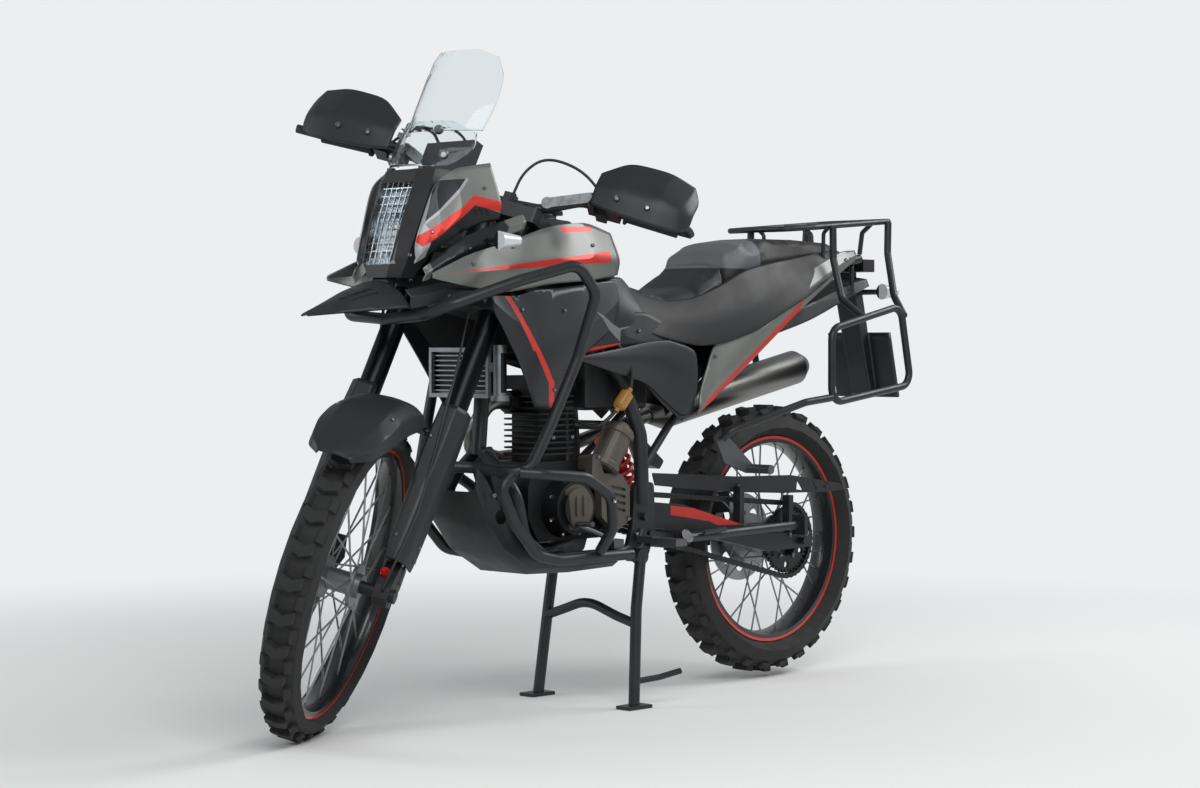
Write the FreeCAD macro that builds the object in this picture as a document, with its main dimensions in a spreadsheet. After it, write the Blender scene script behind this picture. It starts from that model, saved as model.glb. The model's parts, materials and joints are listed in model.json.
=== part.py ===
import FreeCAD, Part
import Sketcher
import math
import os

# Dual sport motorcycle parked on its centre stand, in millimetres.
# +X is forward, +Y is the rider's left and +Z is up. The floor is at z = 0.

Vec = FreeCAD.Vector
Rot = FreeCAD.Rotation

doc = FreeCAD.newDocument("DualSportMotorcycle")
sheet = doc.addObject("Spreadsheet::Sheet", "Sizes")

# Driving dimensions: name, value. A place is measured from the foot of the rear axle.
SIZES = [
    ("origin_offset", 624.0),
    ("wheelbase", 1405.0),
    ("rake_angle", 27.0),
    ("trail", 105.0),
    ("parked_steer_angle", 35.5),
    ("rear_axle_height", 346.0),
    ("running_clearance", 0.3),
    # Front wheel, 21 inch, laced with wire spokes.
    ("front_tyre_radius", 346.0),
    ("front_tyre_width", 92.0),
    ("front_rim_radius", 281.0),
    ("front_rim_width", 54.0),
    ("front_hub_radius", 32.0),
    ("front_hub_width", 96.0),
    ("front_disc_radius", 132.0),
    ("front_disc_offset", -66.0),
    # Rear wheel, 18 inch.
    ("rear_tyre_radius", 332.0),
    ("rear_tyre_width", 120.0),
    ("rear_rim_radius", 243.0),
    ("rear_rim_width", 66.0),
    ("rear_hub_radius", 46.0),
    ("rear_hub_width", 112.0),
    ("rear_disc_radius", 110.0),
    ("rear_disc_offset", -74.0),
    # What both wheels share.
    ("tread_depth", 11.0),
    ("tread_steps", 30.0),
    ("tyre_wall", 11.0),
    ("rim_wall", 4.0),
    ("rim_depth", 20.0),
    ("rim_lip", 12.0),
    ("spoke_radius", 2.2),
    ("spoke_count", 32.0),
    ("disc_thickness", 4.0),
    ("axle_radius", 9.0),
    # Chain drive on the left.
    ("sprocket_radius", 82.0),
    ("sprocket_thickness", 7.0),
    ("sprocket_offset", 76.0),
    ("sprocket_teeth", 42.0),
    ("front_sprocket_radius", 32.0),
    ("chain_pitch", 15.875),
    ("chain_height", 13.0),
    ("chain_width", 17.0),
    ("chain_clearance", 1.5),
    # Inverted fork.
    ("fork_spread", 98.0),
    ("fork_advance", 36.0),
    ("fork_outer_radius", 26.0),
    ("fork_inner_radius", 20.5),
    ("fork_outer_top", 1272.0),
    ("fork_outer_bottom", 668.0),
    ("clamp_height", 34.0),
    ("upper_clamp_station", 1238.0),
    ("lower_clamp_station", 1016.0),
    ("head_tube_radius", 33.0),
    ("head_tube_length", 176.0),
    ("head_tube_station", 1056.0),
    ("stem_radius", 17.0),
    ("bar_radius", 11.0),
    ("bar_half_width", 420.0),
    ("bar_end_station", 1336.0),
    ("bar_clamp_station", 1290.0),
    ("grip_radius", 16.5),
    ("grip_length", 118.0),
    # Frame tubes.
    ("spine_radius", 17.0),
    ("rail_radius", 13.0),
    ("subframe_radius", 11.0),
    ("crash_bar_radius", 12.5),
    ("rack_tube_radius", 7.0),
    ("pannier_tube_radius", 9.0),
    ("stand_tube_radius", 13.0),
    ("pivot_x", 552.0),
    ("pivot_height", 432.0),
    ("panel_wall", 4.0),
    ("screen_wall", 4.0),
    # Engine.
    ("engine_x", 700.0),
    ("engine_height", 470.0),
    ("case_half_width", 62.0),
    ("cover_reach", 104.0),
    ("cylinder_x", 775.0),
    ("fin_count", 11.0),
    ("fin_pitch", 13.0),
    ("fin_thickness", 4.0),
    # Stands.
    ("centre_stand_x", 588.0),
    ("centre_stand_height", 344.0),
    ("side_stand_x", 446.0),
    ("side_stand_height", 378.0),
    ("side_stand_length", 415.0),
    ("side_stand_splay", 31.0),
]
for row, (alias, value) in enumerate(SIZES, start=1):
    sheet.set(f"A{row}", alias)
    sheet.set(f"B{row}", str(value))
    sheet.setAlias(f"B{row}", alias)
doc.recompute()


def mm(alias):
    """The value of one driving dimension."""
    return float(sheet.get(alias))


# Places worked out from the driving dimensions.
RAKE = math.radians(mm("rake_angle"))
STEER = math.radians(mm("parked_steer_angle"))
ROW_SHIFT = Vec(-mm("origin_offset"), 0, 0)


def front_axle_height():
    """Height of the straight front axle at which the turned tyre just meets the floor."""
    crown = mm("front_tyre_width") / 2
    ring = mm("front_tyre_radius") - crown
    lean = math.sin(RAKE) * math.sin(STEER)
    offset = mm("front_tyre_radius") * math.sin(RAKE) - mm("trail") * math.cos(RAKE)
    drop = offset * math.sin(RAKE) * (1 - math.cos(STEER))
    return crown + ring * math.sqrt(1 - lean * lean) + drop


FRONT_AXLE_HEIGHT = front_axle_height()
AXLE_STATION = mm("trail") * math.sin(RAKE) + FRONT_AXLE_HEIGHT * math.cos(RAKE)
AXLE_ADVANCE = FRONT_AXLE_HEIGHT * math.sin(RAKE) - mm("trail") * math.cos(RAKE)

# Frames that the pieces are modelled in. The steering frame has its Z along the steering
# axis, from the floor up, and its X forward, and it is turned to the parked angle. What the
# frame carries round the steering head has its origin where the steering axis meets the floor.
AXIS_FOOT = Vec(mm("wheelbase") + mm("trail"), 0, 0)
TILT = Rot(Vec(0, 1, 0), -mm("rake_angle"))
TURN = Rot(Vec(0, 0, 1), mm("parked_steer_angle"))
CHASSIS = FreeCAD.Placement(ROW_SHIFT, Rot())
FACING_OUT = Rot(Vec(0, 1, 0), 90)
COCKPIT = FreeCAD.Placement(ROW_SHIFT + AXIS_FOOT, Rot())
STEERING = FreeCAD.Placement(AXIS_FOOT + ROW_SHIFT, TILT * TURN)
FRONT_WHEEL = STEERING * FreeCAD.Placement(Vec(AXLE_ADVANCE, 0, AXLE_STATION), Rot())
REAR_WHEEL = FreeCAD.Placement(ROW_SHIFT + Vec(0, 0, mm("rear_axle_height")), Rot())

ALONG_X = Rot(Vec(1, 1, 1), 120)
ALONG_Y = Rot(Vec(1, 0, 0), 90)
ALONG_Z = Rot()
nodes = []


SPLAY = math.radians(mm("side_stand_splay"))
SPLAY_AXIS = Vec(0, math.cos(SPLAY), math.sin(SPLAY))


def head_x(height):
    """How far ahead of the rear axle the steering axis is, at a height above the floor."""
    return AXIS_FOOT.x - height * math.tan(RAKE)


def bind(obj, **expressions):
    """Tie properties of an object to expressions on the sheet's cells."""
    for prop, expression in expressions.items():
        obj.setExpression(prop.replace("__", "."), expression)
    return obj


def cylinder(radius, height, base=Vec(), axis=Vec(0, 0, 1)):
    """A cylinder whose radius and height are expressions, from its base along an axis."""
    obj = doc.addObject("Part::Cylinder", "Cylinder")
    bind(obj, Radius=radius, Height=height)
    obj.Placement = FreeCAD.Placement(base, Rot(Vec(0, 0, 1), axis))
    return obj


def cone(radius_1, radius_2, height, base=Vec(), axis=Vec(0, 0, 1)):
    """A cone frustum whose sizes are expressions."""
    obj = doc.addObject("Part::Cone", "Cone")
    bind(obj, Radius1=radius_1, Radius2=radius_2, Height=height)
    obj.Placement = FreeCAD.Placement(base, Rot(Vec(0, 0, 1), axis))
    return obj


def box(low, high, turn=Rot(), about=Vec()):
    """A box between two corners, turned about a point."""
    obj = doc.addObject("Part::Box", "Box")
    obj.Length = high[0] - low[0]
    obj.Width = high[1] - low[1]
    obj.Height = high[2] - low[2]
    obj.Placement = FreeCAD.Placement(Vec(), turn, about) * FreeCAD.Placement(Vec(*low), Rot())
    return obj


def rounded(points, bend, closed=False):
    """Straight runs through the points, joined by tangent arcs of the bend radius."""
    count = len(points)
    corners = []
    for i in range(count):
        if not closed and i in (0, count - 1):
            corners.append((points[i], None, points[i]))
            continue
        before = points[i - 1] - points[i]
        after = points[(i + 1) % count] - points[i]
        half_turn = (math.pi - before.getAngle(after)) / 2
        if half_turn < 0.01 or bend <= 0:
            corners.append((points[i], None, points[i]))
            continue
        shorter = min(before.Length, after.Length)
        reach = min(bend * math.tan(half_turn), 0.45 * shorter)
        before.normalize()
        after.normalize()
        start = points[i] + before * reach
        end = points[i] + after * reach
        inward = before + after
        inward.normalize()
        radius = reach / math.tan(half_turn)
        middle = points[i] + inward * (radius / math.cos(half_turn) - radius)
        corners.append((start, middle, end))
    pieces = []
    for i, (start, middle, end) in enumerate(corners):
        if middle is not None:
            pieces.append(Part.Arc(start, middle, end))
        if i + 1 < count or closed:
            target = corners[(i + 1) % count][0]
            if (target - end).Length > 0.001:
                pieces.append(Part.LineSegment(end, target))
    return pieces


def sketch(points, placement=FreeCAD.Placement(), bend=0.0, holes=()):
    """A closed outline with rounded corners and round holes: x, y, radius expression."""
    obj = doc.addObject("Sketcher::SketchObject", "Outline")
    obj.Placement = placement
    flat = [Vec(p[0], p[1], 0) for p in points]
    obj.addGeometry(rounded(flat, bend, closed=True), False)
    for x, y, radius in holes:
        index = obj.addGeometry(Part.Circle(Vec(x, y, 0), Vec(0, 0, 1), 1.0), False)
        number = obj.addConstraint(Sketcher.Constraint("Radius", index, 1.0))
        obj.setExpression(f"Constraints[{number}]", radius)
    return obj


def plate(points, thickness, start, bend=0.0, holes=()):
    """A flat plate: an outline in x and z, extruded along +Y from a start."""
    placement = FreeCAD.Placement(Vec(0, start, 0), ALONG_Y)
    obj = doc.addObject("Part::Extrusion", "Plate")
    obj.Base = sketch(points, placement, bend, holes)
    obj.DirMode = "Custom"
    obj.Dir = Vec(0, 1, 0)
    obj.Solid = True
    bind(obj, LengthFwd=thickness)
    return obj


def ring(profile):
    """A body turned about Y from a closed profile of radius and width."""
    obj = doc.addObject("Part::Revolution", "Turned")
    obj.Source = sketch(profile)
    obj.Axis = Vec(0, 1, 0)
    obj.Base = Vec()
    obj.Angle = 360
    obj.Solid = True
    return obj


def faceted_ring(profile, steps):
    """A closed ring of flat facets about Y: the profile of radius and width at equal steps."""
    obj = doc.addObject("Part::Loft", "Ring")
    turns = [Rot(Vec(0, 1, 0), 360 * i / steps) for i in range(steps)]
    obj.Sections = [sketch(profile, FreeCAD.Placement(Vec(), turn)) for turn in turns]
    obj.Solid = True
    obj.Ruled = True
    obj.Closed = True
    return obj


def tube(points, radius, bend):
    """A round tube of an expression's radius along straight runs and tangent arcs."""
    line = doc.addObject("Part::Feature", "Path")
    corners = [Vec(*p) for p in points]
    line.Shape = Part.Wire([piece.toShape() for piece in rounded(corners, bend)])
    circle = bind(doc.addObject("Part::Circle", "Section"), Radius=radius)
    circle.Placement = FreeCAD.Placement(corners[0], Rot(Vec(0, 0, 1), corners[1] - corners[0]))
    obj = doc.addObject("Part::Sweep", "Tube")
    obj.Sections = [circle]
    obj.Spine = (line, [f"Edge{i + 1}" for i in range(len(line.Shape.Edges))])
    obj.Solid = True
    obj.Frenet = False
    return obj


def loft(sections, along, smooth=False):
    """A solid through sections: place along the axis, then the section's points."""
    obj = doc.addObject("Part::Loft", "Loft")
    outlines = []
    for place, points in sections:
        base = {"x": Vec(place, 0, 0), "y": Vec(0, place, 0), "z": Vec(0, 0, place)}[along]
        turn = {"x": ALONG_X, "y": ALONG_Y, "z": ALONG_Z}[along]
        outlines.append(sketch(points, FreeCAD.Placement(base, turn)))
    obj.Sections = outlines
    obj.Solid = True
    obj.Ruled = not smooth
    return obj


def skin(edge, wall):
    """A strip's closed outline: an open line and the same line moved inwards by the wall."""
    inner = []
    for i, (u, v) in enumerate(edge):
        a = edge[max(i - 1, 0)]
        b = edge[min(i + 1, len(edge) - 1)]
        length = math.hypot(b[0] - a[0], b[1] - a[1])
        inner.append((u + wall * (b[1] - a[1]) / length, v - wall * (b[0] - a[0]) / length))
    return list(edge) + inner[::-1]


def shell(stations, along, wall):
    """A thin panel: at each station an open line, walled on its right-hand side."""
    return loft([(place, skin(edge, wall)) for place, edge in stations], along)


def both_sides(edge):
    """A line given for the left half, centre last, carried on to the right half."""
    return list(edge) + [(-u, v) for u, v in reversed(edge) if u != 0]


def mirrored(obj):
    """The same piece on the right-hand side."""
    twin = doc.addObject("Part::Mirroring", "Mirrored")
    twin.Source = obj
    twin.Normal = Vec(0, 1, 0)
    twin.Base = Vec()
    return twin


def pair(obj):
    return [obj, mirrored(obj)]


def fused(*pieces):
    obj = doc.addObject("Part::MultiFuse", "Fused")
    obj.Shapes = list(pieces)
    obj.Refine = False
    return obj


def cut(base, *tools):
    obj = doc.addObject("Part::Cut", "Cut")
    obj.Base = base
    obj.Tool = tools[0] if len(tools) == 1 else fused(*tools)
    obj.Refine = False
    return obj


def group(*pieces):
    obj = doc.addObject("Part::Compound", "Group")
    obj.Links = list(pieces)
    return obj


def node(label, obj, frame):
    """Name a sub-part and place it in the motorcycle."""
    obj.Label = label
    obj.Placement = frame * obj.Placement
    nodes.append(obj)
    return obj


# Wheels


def make_wheel(end, frame, disc_holes):
    """Tyre, rim, hub laced with spokes and brake disc of one wheel, about its own axle."""
    radius = mm(f"{end}_tyre_radius")
    half = mm(f"{end}_tyre_width") / 2
    rim_radius = mm(f"{end}_rim_radius")
    rim_half = mm(f"{end}_rim_width") / 2
    ring_radius = radius - half
    steps = int(mm("tread_steps"))
    chord = math.cos(math.pi / steps)
    depth = mm("tread_depth")
    wall = mm("tyre_wall")
    outer = []
    for degrees in (-84, -52, -20, 20, 52, 84):
        angle = math.radians(degrees)
        outer.append((ring_radius + (half - depth) * math.cos(angle), (half - 1) * math.sin(angle)))
    inner = []
    for degrees in (52, 20, -20, -52):
        angle = math.radians(degrees)
        inner.append((ring_radius + (half - depth - wall) * math.cos(angle), (half - wall - 1) * math.sin(angle)))
    bead = (rim_radius + mm("running_clearance")) / chord
    shoulder = (rim_radius + mm("rim_lip") + mm("running_clearance")) / chord
    lip = rim_half - mm("rim_wall") - mm("running_clearance")
    profile = ([(bead, -lip), (shoulder, -lip)] + outer + [(shoulder, lip), (bead, lip), (bead, lip - wall)]
               + inner + [(bead, wall - lip)])
    tread = []
    root = 9
    chevron = [(-17, -23), (-7, 0), (-17, 23), (7, 23), (17, 0), (7, -23)]
    for i in range(steps):
        turn = FreeCAD.Placement(Vec(), Rot(Vec(0, 1, 0), 360 * (i + 0.5) / steps))
        block = doc.addObject("Part::Extrusion", "Block")
        block.Base = sketch(chevron, turn * FreeCAD.Placement(Vec(radius - depth - root, 0, 0), FACING_OUT))
        block.DirMode = "Custom"
        block.Dir = turn.Rotation.multVec(Vec(1, 0, 0))
        block.Solid = True
        bind(block, LengthFwd=f"Sizes.tread_depth + {root}")
        tread.append(block)
        for across in (-40, 40):
            place = FreeCAD.Placement(Vec(), Rot(Vec(0, 1, 0), 360 * i / steps))
            lean = FreeCAD.Placement(Vec(ring_radius, 0, 0), Rot(Vec(0, 0, 1), across))
            knob = box((half - depth - 5, -8, -14), (half, 8, 14))
            knob.Placement = place * lean * knob.Placement
            tread.append(knob)
    node(f"{end}_tyre", fused(faceted_ring(profile, steps), *tread), frame)

    drop = mm("rim_depth")
    rim_wall = mm("rim_wall")
    floor = rim_radius - drop * 0.35
    edge = rim_radius + mm("rim_lip")
    rim = [(edge, -rim_half), (edge, -rim_half + rim_wall),
           (rim_radius, -rim_half + rim_wall), (floor, -rim_half * 0.45), (floor, rim_half * 0.45),
           (rim_radius, rim_half - rim_wall), (edge, rim_half - rim_wall), (edge, rim_half),
           (rim_radius - rim_wall, rim_half), (floor - rim_wall, rim_half * 0.45),
           (floor - rim_wall, -rim_half * 0.45),
           (rim_radius - rim_wall, -rim_half)]
    node(f"{end}_rim", ring(rim), frame)

    hub_radius = mm(f"{end}_hub_radius")
    hub_half = mm(f"{end}_hub_width") / 2
    flange = hub_half - 14
    bore = mm("axle_radius") + mm("running_clearance")
    hub = ring([(bore, -hub_half), (hub_radius - 6, -hub_half), (hub_radius - 6, -flange - 4),
                (hub_radius + 14, -flange - 4), (hub_radius + 14, -flange + 4),
                (hub_radius - 8, -flange + 10), (hub_radius - 8, flange - 10),
                (hub_radius + 14, flange - 4), (hub_radius + 14, flange + 4),
                (hub_radius - 6, flange + 4), (hub_radius - 6, hub_half), (bore, hub_half)])
    laced = [hub]
    count = int(mm("spoke_count"))
    seat = floor - rim_wall - mm("running_clearance") - 0.4
    for i in range(count):
        side = 1 if i % 2 else -1
        lead = (1 if i % 4 < 2 else -1) * math.radians(38)
        at_rim = 2 * math.pi * i / count
        start = Vec((hub_radius + 8) * math.cos(at_rim + lead), side * flange,
                    (hub_radius + 8) * math.sin(at_rim + lead))
        end_point = Vec(seat * math.cos(at_rim), side * 5, seat * math.sin(at_rim))
        line = end_point - start
        spoke = doc.addObject("Part::Prism", "Spoke")
        spoke.Polygon = 6
        bind(spoke, Circumradius="Sizes.spoke_radius", Height=f"{line.Length}")
        spoke.Placement = FreeCAD.Placement(start, Rot(Vec(0, 0, 1), line))
        laced.append(spoke)
    node(f"{end}_hub", fused(*laced), frame)

    disc_radius = mm(f"{end}_disc_radius")
    offset = mm(f"{end}_disc_offset")
    thickness = mm("disc_thickness")
    carrier = ring([(hub_radius - 5.5, -hub_half), (hub_radius + 12, offset - thickness / 2),
                    (disc_radius, offset - thickness / 2), (disc_radius, offset + thickness / 2),
                    (hub_radius + 20, offset + thickness / 2), (hub_radius + 6, -hub_half + 6),
                    (hub_radius - 5.5, -hub_half + 6)])
    holes = []
    for i in range(disc_holes):
        angle = 2 * math.pi * i / disc_holes
        reach = disc_radius * 0.66
        centre = Vec(reach * math.cos(angle), offset - thickness, reach * math.sin(angle))
        hole = cylinder(f"Sizes.{end}_disc_radius * 0.14", "Sizes.disc_thickness * 2", centre, Vec(0, 1, 0))
        holes.append(hole)
    node(f"{end}_disc", cut(carrier, *holes), frame)


def make_sprocket():
    """Toothed ring on the left of the rear hub."""
    teeth = int(mm("sprocket_teeth"))
    tip = mm("sprocket_radius")
    root = tip - 8
    points = []
    for i in range(teeth):
        for part, reach in ((0.0, root), (0.3, root), (0.45, tip), (0.75, tip)):
            angle = 2 * math.pi * (i + part) / teeth
            points.append((reach * math.cos(angle), reach * math.sin(angle)))
    offset = mm("sprocket_offset")
    start = offset - mm("sprocket_thickness") / 2
    holes = [(0, 0, "Sizes.rear_hub_radius - 5.5")]
    for i in range(6):
        angle = 2 * math.pi * (i + 0.5) / 6
        reach = (root + mm("rear_hub_radius")) / 2 + 2
        holes.append((reach * math.cos(angle), reach * math.sin(angle), "Sizes.sprocket_radius * 0.1"))
    disc = plate(points, "Sizes.sprocket_thickness", start, 0.0, holes)
    half = mm("rear_hub_width") / 2
    hub = mm("rear_hub_radius")
    seat = ring([(hub - 5.5, half - 8), (hub + 6, half - 8), (hub + 6, start + 1), (hub - 5.5, start + 1)])
    node("rear_sprocket", fused(disc, seat), REAR_WHEEL)


# Steering: fork, clamps, axle, fender, handlebar and what they carry


def fork_pipe(radius, low, high, side):
    """One leg of the fork between two stations along the steering axis."""
    base = Vec(mm("fork_advance"), side * mm("fork_spread"), low)
    return cylinder(radius, f"{high - low}", base)


def make_fork():
    bottom = mm("fork_outer_bottom")
    top = mm("fork_outer_top")
    outer = []
    inner = []
    for side in (1, -1):
        tube_body = fork_pipe("Sizes.fork_outer_radius", bottom, top, side)
        collar = fork_pipe("Sizes.fork_outer_radius + 3", bottom, bottom + 40, side)
        cap = fork_pipe("Sizes.fork_outer_radius - 4", top, top + 8, side)
        bore = fork_pipe("Sizes.fork_inner_radius + Sizes.running_clearance", bottom - 5, bottom + 60, side)
        outer.append(cut(fused(tube_body, collar, cap), bore))
        foot = AXLE_STATION + 34
        inner.append(fork_pipe("Sizes.fork_inner_radius", foot, bottom + 55, side))
        shoulder = [(mm("fork_advance") - 22, foot + 58), (mm("fork_advance") + 22, foot + 58),
                    (AXLE_ADVANCE + 24, AXLE_STATION + 10), (AXLE_ADVANCE + 22, AXLE_STATION - 18),
                    (AXLE_ADVANCE + 4, AXLE_STATION - 28), (AXLE_ADVANCE - 20, AXLE_STATION - 22),
                    (mm("fork_advance") - 25, foot - 4)]
        inner.append(plate(shoulder, "34", side * mm("fork_spread") - 17, 7.0))
        boss = Vec(mm("fork_advance") + 6, side * (mm("fork_spread") + 16), foot + 46)
        inner.append(cylinder("7", "10.6", boss, Vec(0, side, 0)))
    reach = mm("fork_spread") + 26
    across = Vec(0, 1, 0)
    axle = cylinder("Sizes.axle_radius", f"{2 * reach}", Vec(AXLE_ADVANCE, -reach, AXLE_STATION), across)
    cap = cylinder("Sizes.axle_radius + 6", "12", Vec(AXLE_ADVANCE, reach - 11, AXLE_STATION), across)
    start = mm("front_hub_width") / 2 + mm("running_clearance")
    length = mm("fork_spread") - 16 - start
    spacer = cylinder("Sizes.axle_radius + 5", f"{length}", Vec(AXLE_ADVANCE, start, AXLE_STATION), across)
    node("fork_outer_tubes", group(*outer), STEERING)
    node("fork_inner_tubes", fused(*inner, axle, cap, *pair(spacer)), STEERING)


def make_clamps():
    """Upper and lower fork clamps, joined by the steering stem."""
    pieces = []
    for name, bridge in (("upper", 30), ("lower", 30)):
        station = mm(f"{name}_clamp_station")
        wide = mm("fork_spread") + 36
        ahead = mm("fork_advance")
        outline = [(ahead + 34, -wide + 12), (ahead + 34, wide - 12), (ahead + 18, wide),
                   (ahead - 18, wide),
                   (ahead - 34, wide - 16), (-bridge, 24), (-bridge, -24), (ahead - 34, -wide + 16),
                   (ahead - 18, -wide), (ahead + 18, -wide)]
        slab = doc.addObject("Part::Extrusion", "Clamp")
        slab.Base = sketch(outline, FreeCAD.Placement(Vec(0, 0, station), Rot()), 9.0)
        slab.DirMode = "Custom"
        slab.Dir = Vec(0, 0, 1)
        slab.Solid = True
        bind(slab, LengthFwd="Sizes.clamp_height")
        pieces.append(slab)
    low = mm("lower_clamp_station") + 5
    high = mm("upper_clamp_station") + mm("clamp_height") + 14
    stem = cylinder("Sizes.stem_radius", f"{high - low}", Vec(0, 0, low))
    bores = []
    for side in (1, -1):
        base = Vec(mm("fork_advance"), side * mm("fork_spread"), mm("lower_clamp_station") - 20)
        bores.append(cylinder("Sizes.fork_outer_radius + Sizes.running_clearance", "300", base))
    bar = mm("bar_clamp_station")
    risers = [box((-6, side * 43 - 13, high - 20), (34, side * 43 + 13, bar + 18)) for side in (1, -1)]
    grooves = cylinder("Sizes.bar_radius + Sizes.running_clearance", "140", Vec(14, -70, bar), Vec(0, 1, 0))
    node("fork_clamps", cut(cut(fused(*pieces, stem, *risers), *bores), grooves), STEERING)


def make_fork_guards():
    """Moulded guards in front of the inner tubes, with a raised front face."""
    front = mm("fork_advance")
    side = mm("fork_spread")
    # station, reach ahead of the leg, half width
    rows = [(782, 46, 24), (700, 54, 27), (640, 60, 26), (452, 70, 21), (418, 68, 17)]
    stations = []
    for station, reach, half in rows:
        edge = [(front - 6, side + half + 10), (front + reach - 22, side + half + 8),
                (front + reach, side + half - 10),
                (front + reach, side - half + 6), (front + reach - 16, side - half + 4)]
        stations.append((station, [(v, u) for v, u in edge]))
    guard = shell(stations, "z", -mm("panel_wall"))
    node("fork_guards", group(*pair(guard)), STEERING)


def make_front_fender():
    """Low fender over the front tyre, with a ridge along each side and a pointed nose."""
    # place ahead of the axle, height over the axle, half width, depth of the sides
    rows = [(-236, 306, 42, 14), (-170, 354, 54, 34), (-100, 386, 66, 50), (0, 400, 70, 62),
            (90, 396, 76, 62),
            (170, 366, 76, 46), (225, 332, 62, 26), (252, 310, 36, 10)]
    stations = []
    for x, z, half, depth in rows:
        edge = both_sides([(half, z - depth), (half - 4, z - depth * 0.35), (half * 0.62, z - 4), (0, z)])
        stations.append((x, edge))
    cover = shell(stations, "x", mm("panel_wall"))
    reach = mm("fork_spread") - mm("fork_outer_radius") - mm("running_clearance")
    lug = cylinder("10", f"{reach - 50}", Vec(-196, 50, 318), Vec(0, 1, 0))
    fender = fused(cover, *pair(lug))
    axle = FreeCAD.Placement(Vec(AXLE_ADVANCE, 0, AXLE_STATION), Rot(Vec(0, 1, 0), mm("rake_angle")))
    node("front_fender", fender, STEERING * axle)


def make_front_caliper():
    """Two-piston caliper behind the right fork leg, over the disc's edge."""
    side = mm("front_disc_offset")
    reach = mm("front_disc_radius")
    x = AXLE_ADVANCE - reach * 0.72
    z = AXLE_STATION + reach * 0.66
    body = box((x - 34, side - 22, z - 38), (x + 22, side + 19, z + 24))
    slot = box((x - 40, side - 4.5, z - 80), (x + 60, side + 4.5, z + 10))
    caliper = cut(body, slot)
    caliper.Placement = FreeCAD.Placement(Vec(), Rot(Vec(0, 1, 0), -42), Vec(x, 0, z))
    leg = mm("fork_advance") - mm("fork_inner_radius") - mm("running_clearance")
    arm = plate([(x - 16, z - 10), (leg, z + 20), (leg, z + 52), (x, z + 24)], "13", side - 30)
    node("front_caliper", fused(caliper, arm), STEERING)


def bar_points():
    """The handlebar's bends, in the steering frame: ahead, left, station."""
    half = mm("bar_half_width")
    top = mm("bar_end_station")
    clamp = mm("bar_clamp_station")
    left = [(0, half, top), (9, half - 222, top + 4), (15, 116, clamp + 4), (14, 60, clamp)]
    return left + [(x, -y, z) for x, y, z in reversed(left)]


def make_handlebar():
    node("handlebar", tube(bar_points(), "Sizes.bar_radius", 60.0), STEERING)
    half = mm("bar_half_width")
    top = mm("bar_end_station")
    start = Vec(0, half + 3, top)
    line = Vec(*bar_points()[1]) - Vec(*bar_points()[0])
    line.normalize()
    grip = cylinder("Sizes.grip_radius", "Sizes.grip_length", start, line)
    flange = cylinder("Sizes.grip_radius + 5", "5", start + line * mm("grip_length"), line)
    bore = cylinder("Sizes.bar_radius + Sizes.running_clearance", "Sizes.grip_length + 40",
                    start + line * 2.5, line)
    node("grips", group(*pair(cut(fused(grip, flange), bore))), STEERING)


def make_controls():
    """Switch block, perch, lever and reservoir at each end of the handlebar."""
    top = mm("bar_end_station")
    half = mm("bar_half_width")
    perch = box((-16, half - 160, top - 14), (34, half - 130, top + 18))
    block = box((-20, half - 184, top - 20), (20, half - 160, top + 22))
    lever = tube([(30, half - 148, top), (58, half - 128, top - 4), (62, half - 80, top - 8),
                  (56, half - 24, top - 12), (52, half - 8, top - 14)], "5.5", 30.0)
    end, bend = Vec(*bar_points()[0]), Vec(*bar_points()[1])
    bore = cylinder("Sizes.bar_radius + Sizes.running_clearance", f"{(bend - end).Length}", end, bend - end)
    node("hand_controls", group(*pair(cut(fused(perch, block, lever), bore))), STEERING)


def make_handguards():
    """Handguards: an alloy arm from the inner bar to the bar end, and a slotted shield."""
    top = mm("bar_end_station")
    half = mm("bar_half_width")
    end, bend = Vec(*bar_points()[0]), Vec(*bar_points()[1])
    line = bend - end
    line.normalize()
    clamp = box((-10, half - 203, top - 14), (36, half - 188, top + 20))
    arm = tube([(28, half - 195, top + 1), (60, half - 186, top - 8), (88, half - 130, top - 12),
                (86, half - 20, top - 14), (46, half + 30, top - 8), (0, half + 32, top)], "8", 45.0)
    length = (bend - end).Length + 30
    bore = cylinder("Sizes.bar_radius + Sizes.running_clearance", f"{length}", end - line, line)
    boss = cylinder("6", "13.7", Vec(88, half - 120, top - 12), Vec(1, 0, 0))
    arms = cut(fused(arm, clamp, boss, cylinder("10", "28", Vec(0, half + 6, top), Vec(0, 1, 0))), bore)
    rod = cylinder("10", "36", Vec(0, -half - 32, top), Vec(0, -1, 0))
    # place out from the bar's end, then height and reach of the shield's lower edge, belly and upper edge
    rows = [(-184, -30, 96, 12, 100, 48, 84), (-130, -42, 98, 14, 108, 92, 78),
            (-40, -46, 96, 14, 106, 98, 66), (18, -38, 78, 12, 88, 86, 46), (36, -16, 60, 12, 66, 56, 42)]
    stations = []
    for out, z0, x0, z1, x1, z2, x2 in rows:
        stations.append((half + out, [(x0, top + z0), (x1, top + z1), (x2, top + z2)]))
    shield = shell(stations, "y", mm("panel_wall"))
    node("handguards", group(arms, fused(mirrored(arms), rod), *pair(shield)), STEERING)


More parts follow.
